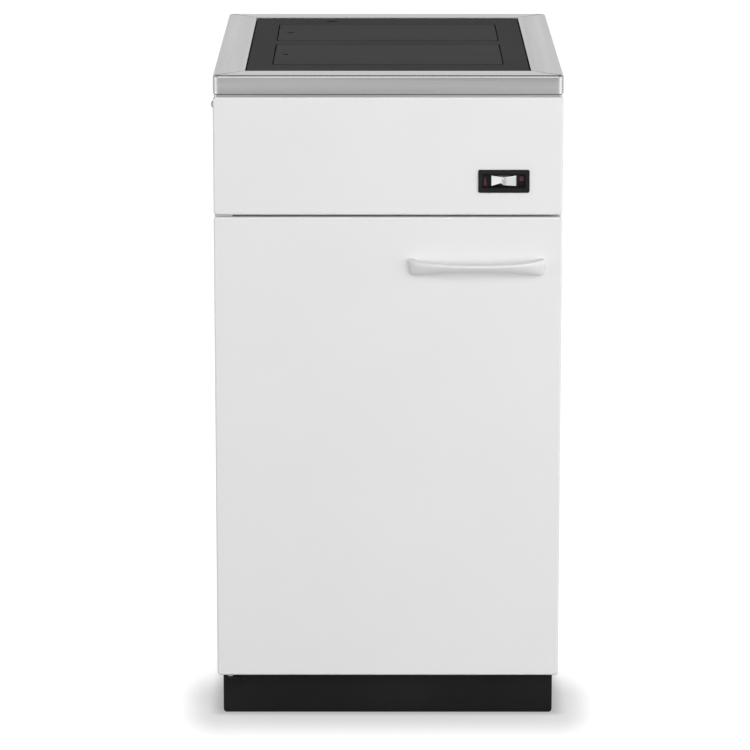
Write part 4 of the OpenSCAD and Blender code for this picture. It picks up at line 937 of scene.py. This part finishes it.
low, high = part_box("side_panel_right")
for side, node in ((-1, "side_panel_left"), (1, "side_panel_right")):
    near, far = sorted((side * (high.x - SIDE_DEPTH), side * high.x))
    panel = folded_sheet(node + "_sheet", (near, low.y, low.z), (far, high.y, high.z), (side, 0, 0),
                         SIDE_FOLD, lip=SIDE_LIP)
    dress(panel, enamel, "cooker", node)


# ---------------------------------------------------------------- softened copies of the smaller parts

SOFTENED = [   # node, softening of its edges in millimetres, body
    ("plinth", 0.4, "cooker"), ("back_panel", 0.2, "cooker"), ("base_plate", 0.2, "cooker"),
    ("fascia_brackets", 0.3, "cooker"), ("ash_shelf", 0.3, "cooker"), ("flue_rosette", 0.3, "cooker"),
    ("flue_collar", 0.6, "cooker"), ("hob_rim", 0.6, "cooker"), ("hob_seal", 1.4, "cooker"),
    ("front_surround", 0.3, "cooker"), ("fire_front", 1.0, "cooker"), ("fire_front_lugs", 0.8, "cooker"),
    ("firebox_walls", 0.5, "cooker"), ("grate_carrier", 1.0, "cooker"), ("baffle", 0.5, "cooker"),
    ("damper_gate", 0.3, "damper"), ("damper_rod", 0.5, "damper"), ("damper_guide", 0.3, "cooker"),
    ("upper_hinge_bracket", 0.3, "cooker"), ("lower_hinge_bracket", 0.3, "cooker"),
    ("lower_hinge_pin", 0.2, "cooker"), ("door_magnet", 0.4, "cooker"), ("casing_screws", 0.15, "cooker"),
    ("door_screws", 0.15, "cover_door"), ("fire_door_pins", 0.4, "cooker"),
    ("door_liner", 0.2, "cover_door"), ("hinge_bushes", 0.3, "cover_door"),
    ("fire_door_leaf", 1.0, "fire_door"), ("fire_door_seal", 1.0, "fire_door"),
    ("fire_door_latch", 0.8, "fire_door"), ("ash_pan", 0.3, "ash_drawer"),
    ("ash_front", 0.8, "ash_drawer"), ("air_slide", 0.4, "air_slide"), ("grate", 1.0, "shaker"),
    ("shaker_rod", 0.6, "shaker"), ("fire_bricks", 0.8, "cooker"),
]
SOFTENED += [(foot, 0.4, foot) for foot in ("foot_front_left", "foot_front_right",
                                            "foot_rear_left", "foot_rear_right")]
for node, width, body in SOFTENED:
    piece = merged_copy(node)
    soften(piece, width * MM)
    dress(piece, FINISH_OF[node], body, node)


# ---------------------------------------------------------------- studio

FLOOR_GREY = (0.32, 0.32, 0.32, 1)   # what the floor reflects; the rest of its white is its own light
WHITE = (1, 1, 1, 1)
# Where the floor's own light starts and ends to rise, and from which share of it to which; where it stays
# low by the plinth, it paints a shadow:
SHADOW = (0.015, 0.105, 0.53, 0.91)  # by the distance in front of the plinth, in metres
SHADOW_DEPTH, SHADOW_STRETCH = 0.06, (1.35, 0.66, 1)     # the strip it starts from, and its shape
CONTACT = (0.0, 0.022, 0.60, 1.0)    # by the distance all round the plinth
AISLE = (0.5, 1.7, 0.43, 1.0)        # by the distance to the side, for what the metal shows of the floor
CEILING = (0.40, 0.75, 1.0, 0.28)    # the same for the surround, by the height of the view's direction
SKY = 0.95                           # strength of the light that the surround gives


def pale_floor():
    """A pale floor that keeps the cooker's shadow, has a painted shadow in its glow round the plinth, and
    meets a white horizon.
    """
    let_go()
    bpy.ops.mesh.primitive_plane_add(size=60, location=(0, 0, -0.2 * MM))
    floor = named("studio_floor")
    material = bpy.data.materials.new("pale_floor")
    material.use_nodes = True
    tree = material.node_tree
    shader = tree.nodes["Principled BSDF"]
    for socket, value in (("Base Color", FLOOR_GREY), ("Roughness", 1.0), ("Specular IOR Level", 0.0),
                          ("Emission Color", WHITE)):
        shader.inputs[socket].default_value = value
    place = add(tree, "ShaderNodeTexCoord")

    def vector(operation, given, value=None):
        made = add(tree, "ShaderNodeVectorMath", {1: value} if value else None, operation=operation)
        tree.links.new(given, made.inputs[0])
        return made.outputs["Value" if operation == "LENGTH" else "Vector"]

    def rising(given, ends):
        made = remap(tree, *ends, interpolation_type="SMOOTHSTEP")
        tree.links.new(given, made.inputs["Value"])
        return made.outputs["Result"]

    def away_from(shift, half, stretch):
        """The distance from an upright box on the floor, longer or shorter along each axis."""
        side = vector("ABSOLUTE", vector("ADD", place.outputs["Object"], shift))
        beyond = vector("MAXIMUM", vector("SUBTRACT", side, half), (0, 0, 0))
        return vector("LENGTH", vector("MULTIPLY", beyond, stretch))

    def joined(operation, *given):
        made = math_node(tree, operation)
        for i, output in enumerate(given):
            tree.links.new(output, made.inputs[i])
        return made.outputs["Value"]

    low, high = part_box("plinth")
    half, middle = (high - low) / 2, (low + high) / 2
    near = SHADOW_DEPTH / 2
    front = away_from((-middle.x, -low.y - near, 0), (half.x, near, 1), SHADOW_STRETCH)
    all_round = away_from((-middle.x, -middle.y, 0), (half.x, half.y, 1), (1, 1, 1))
    shadow, contact = rising(front, SHADOW), rising(all_round, CONTACT)
    across = add(tree, "ShaderNodeSeparateXYZ")
    tree.links.new(vector("ABSOLUTE", place.outputs["Object"]), across.inputs["Vector"])
    aisle = rising(across.outputs["X"], AISLE)
    seen = add(tree, "ShaderNodeLightPath").outputs
    shown = joined("MAXIMUM", joined("MULTIPLY", seen["Is Glossy Ray"], aisle), seen["Is Camera Ray"])
    # Dimming the glow in front of and round the plinth paints the shadow there.
    glow = joined("MULTIPLY", joined("MULTIPLY", shadow, contact), shown)
    tree.links.new(glow, shader.inputs["Emission Strength"])
    floor.data.materials.append(material)


def pale_sky():
    """A surround that is darker overhead; only the camera sees it pure white all over."""
    world = bpy.data.worlds.new("studio_surround")
    bpy.context.scene.world = world
    world.use_nodes = True
    tree = world.node_tree
    backdrop = tree.nodes["Background"]
    backdrop.inputs["Color"].default_value = WHITE
    seen = add(tree, "ShaderNodeLightPath")
    direction, height = add(tree, "ShaderNodeTexCoord"), add(tree, "ShaderNodeSeparateXYZ")
    strength = remap(tree, 0, 1, SKY, 1.0)
    ceiling = remap(tree, *CEILING, interpolation_type="SMOOTHSTEP")
    shiny, shaded, clear = (math_node(tree, kind) for kind in ("MAXIMUM", "MULTIPLY", "MAXIMUM"))
    wire(tree,
         (seen, "Is Glossy Ray", shiny, 0), (seen, "Is Transmission Ray", shiny, 1),
         (shiny, "Value", strength, "Value"),
         (direction, "Generated", height, "Vector"), (height, "Z", ceiling, "Value"),
         (strength, "Result", shaded, 0), (ceiling, "Result", shaded, 1),
         (shaded, "Value", clear, 0), (seen, "Is Camera Ray", clear, 1),
         (clear, "Value", backdrop, "Strength"))


LAMPS = (   # name, place, target, width, height, watts
    ("key_softbox", (0.9, -3.6, 2.15), (0, 0, 0.5), 5.0, 2.3, 45),
    ("front_fill", (1.0, -3.6, 0.6), (0, 0, 0.6), 3.6, 1.0, 18),
    ("right_softbox", (3.0, -2.0, 0.95), (0, 0, 0.6), 3.2, 1.8, 31),
    ("left_softbox", (-3.0, -2.0, 0.95), (0, 0, 0.6), 0.8, 1.9, 5),
)
METAL_LAMPS = (   # the same, for the lamps that only show in the metal
    ("front_edge_softbox", (0, -3.2, 2.0), (0, 0, 0.85), 2.2, 1.9, 26),
    ("right_edge_softbox", (3.0, -2.0, 0.4), (0, 0, 0.6), 2.4, 0.7, 8),
    ("left_edge_softbox", (-3.0, -2.0, 0.4), (0, 0, 0.6), 1.6, 0.7, 5.5),
)


def softbox(name, place, target, width, height, power, for_metal):
    """A soft lamp that looks at a target, and either lights the surfaces or only shows in the metal."""
    light = bpy.data.lights.new(name, "AREA")
    light.shape = "RECTANGLE"
    light.size, light.size_y, light.energy = width, height, power
    lamp = bpy.data.objects.new(name, light)
    bpy.context.scene.collection.objects.link(lamp)
    lamp.visible_diffuse, lamp.visible_glossy = not for_metal, for_metal
    lamp.location = place
    lamp.rotation_euler = (Vector(target) - Vector(place)).to_track_quat("-Z", "Y").to_euler()


pale_floor()
pale_sky()
for lamp in LAMPS:
    softbox(*lamp, for_metal=False)
for lamp in METAL_LAMPS:
    softbox(*lamp, for_metal=True)


# ---------------------------------------------------------------- camera

TURN, RISE = math.radians(-0.13), math.radians(12.27)
DISTANCE = 5.5
ORBIT_MIDDLE, AIM = Vector((0, 0, 0.425)), Vector((-0.017, 0, 0.3923))

camera_data = bpy.data.cameras.new("camera")
camera_data.lens = 193.4
camera_data.sensor_width = 36
camera_data.clip_end = 200
camera = bpy.data.objects.new("camera", camera_data)
bpy.context.scene.collection.objects.link(camera)
towards = Vector((math.sin(TURN) * math.cos(RISE), -math.cos(TURN) * math.cos(RISE), math.sin(RISE)))
camera.location = ORBIT_MIDDLE + towards * DISTANCE
camera.rotation_euler = (AIM - camera.location).to_track_quat("-Z", "Y").to_euler()
bpy.context.scene.camera = camera
bpy.context.scene.view_settings.view_transform = "Standard"
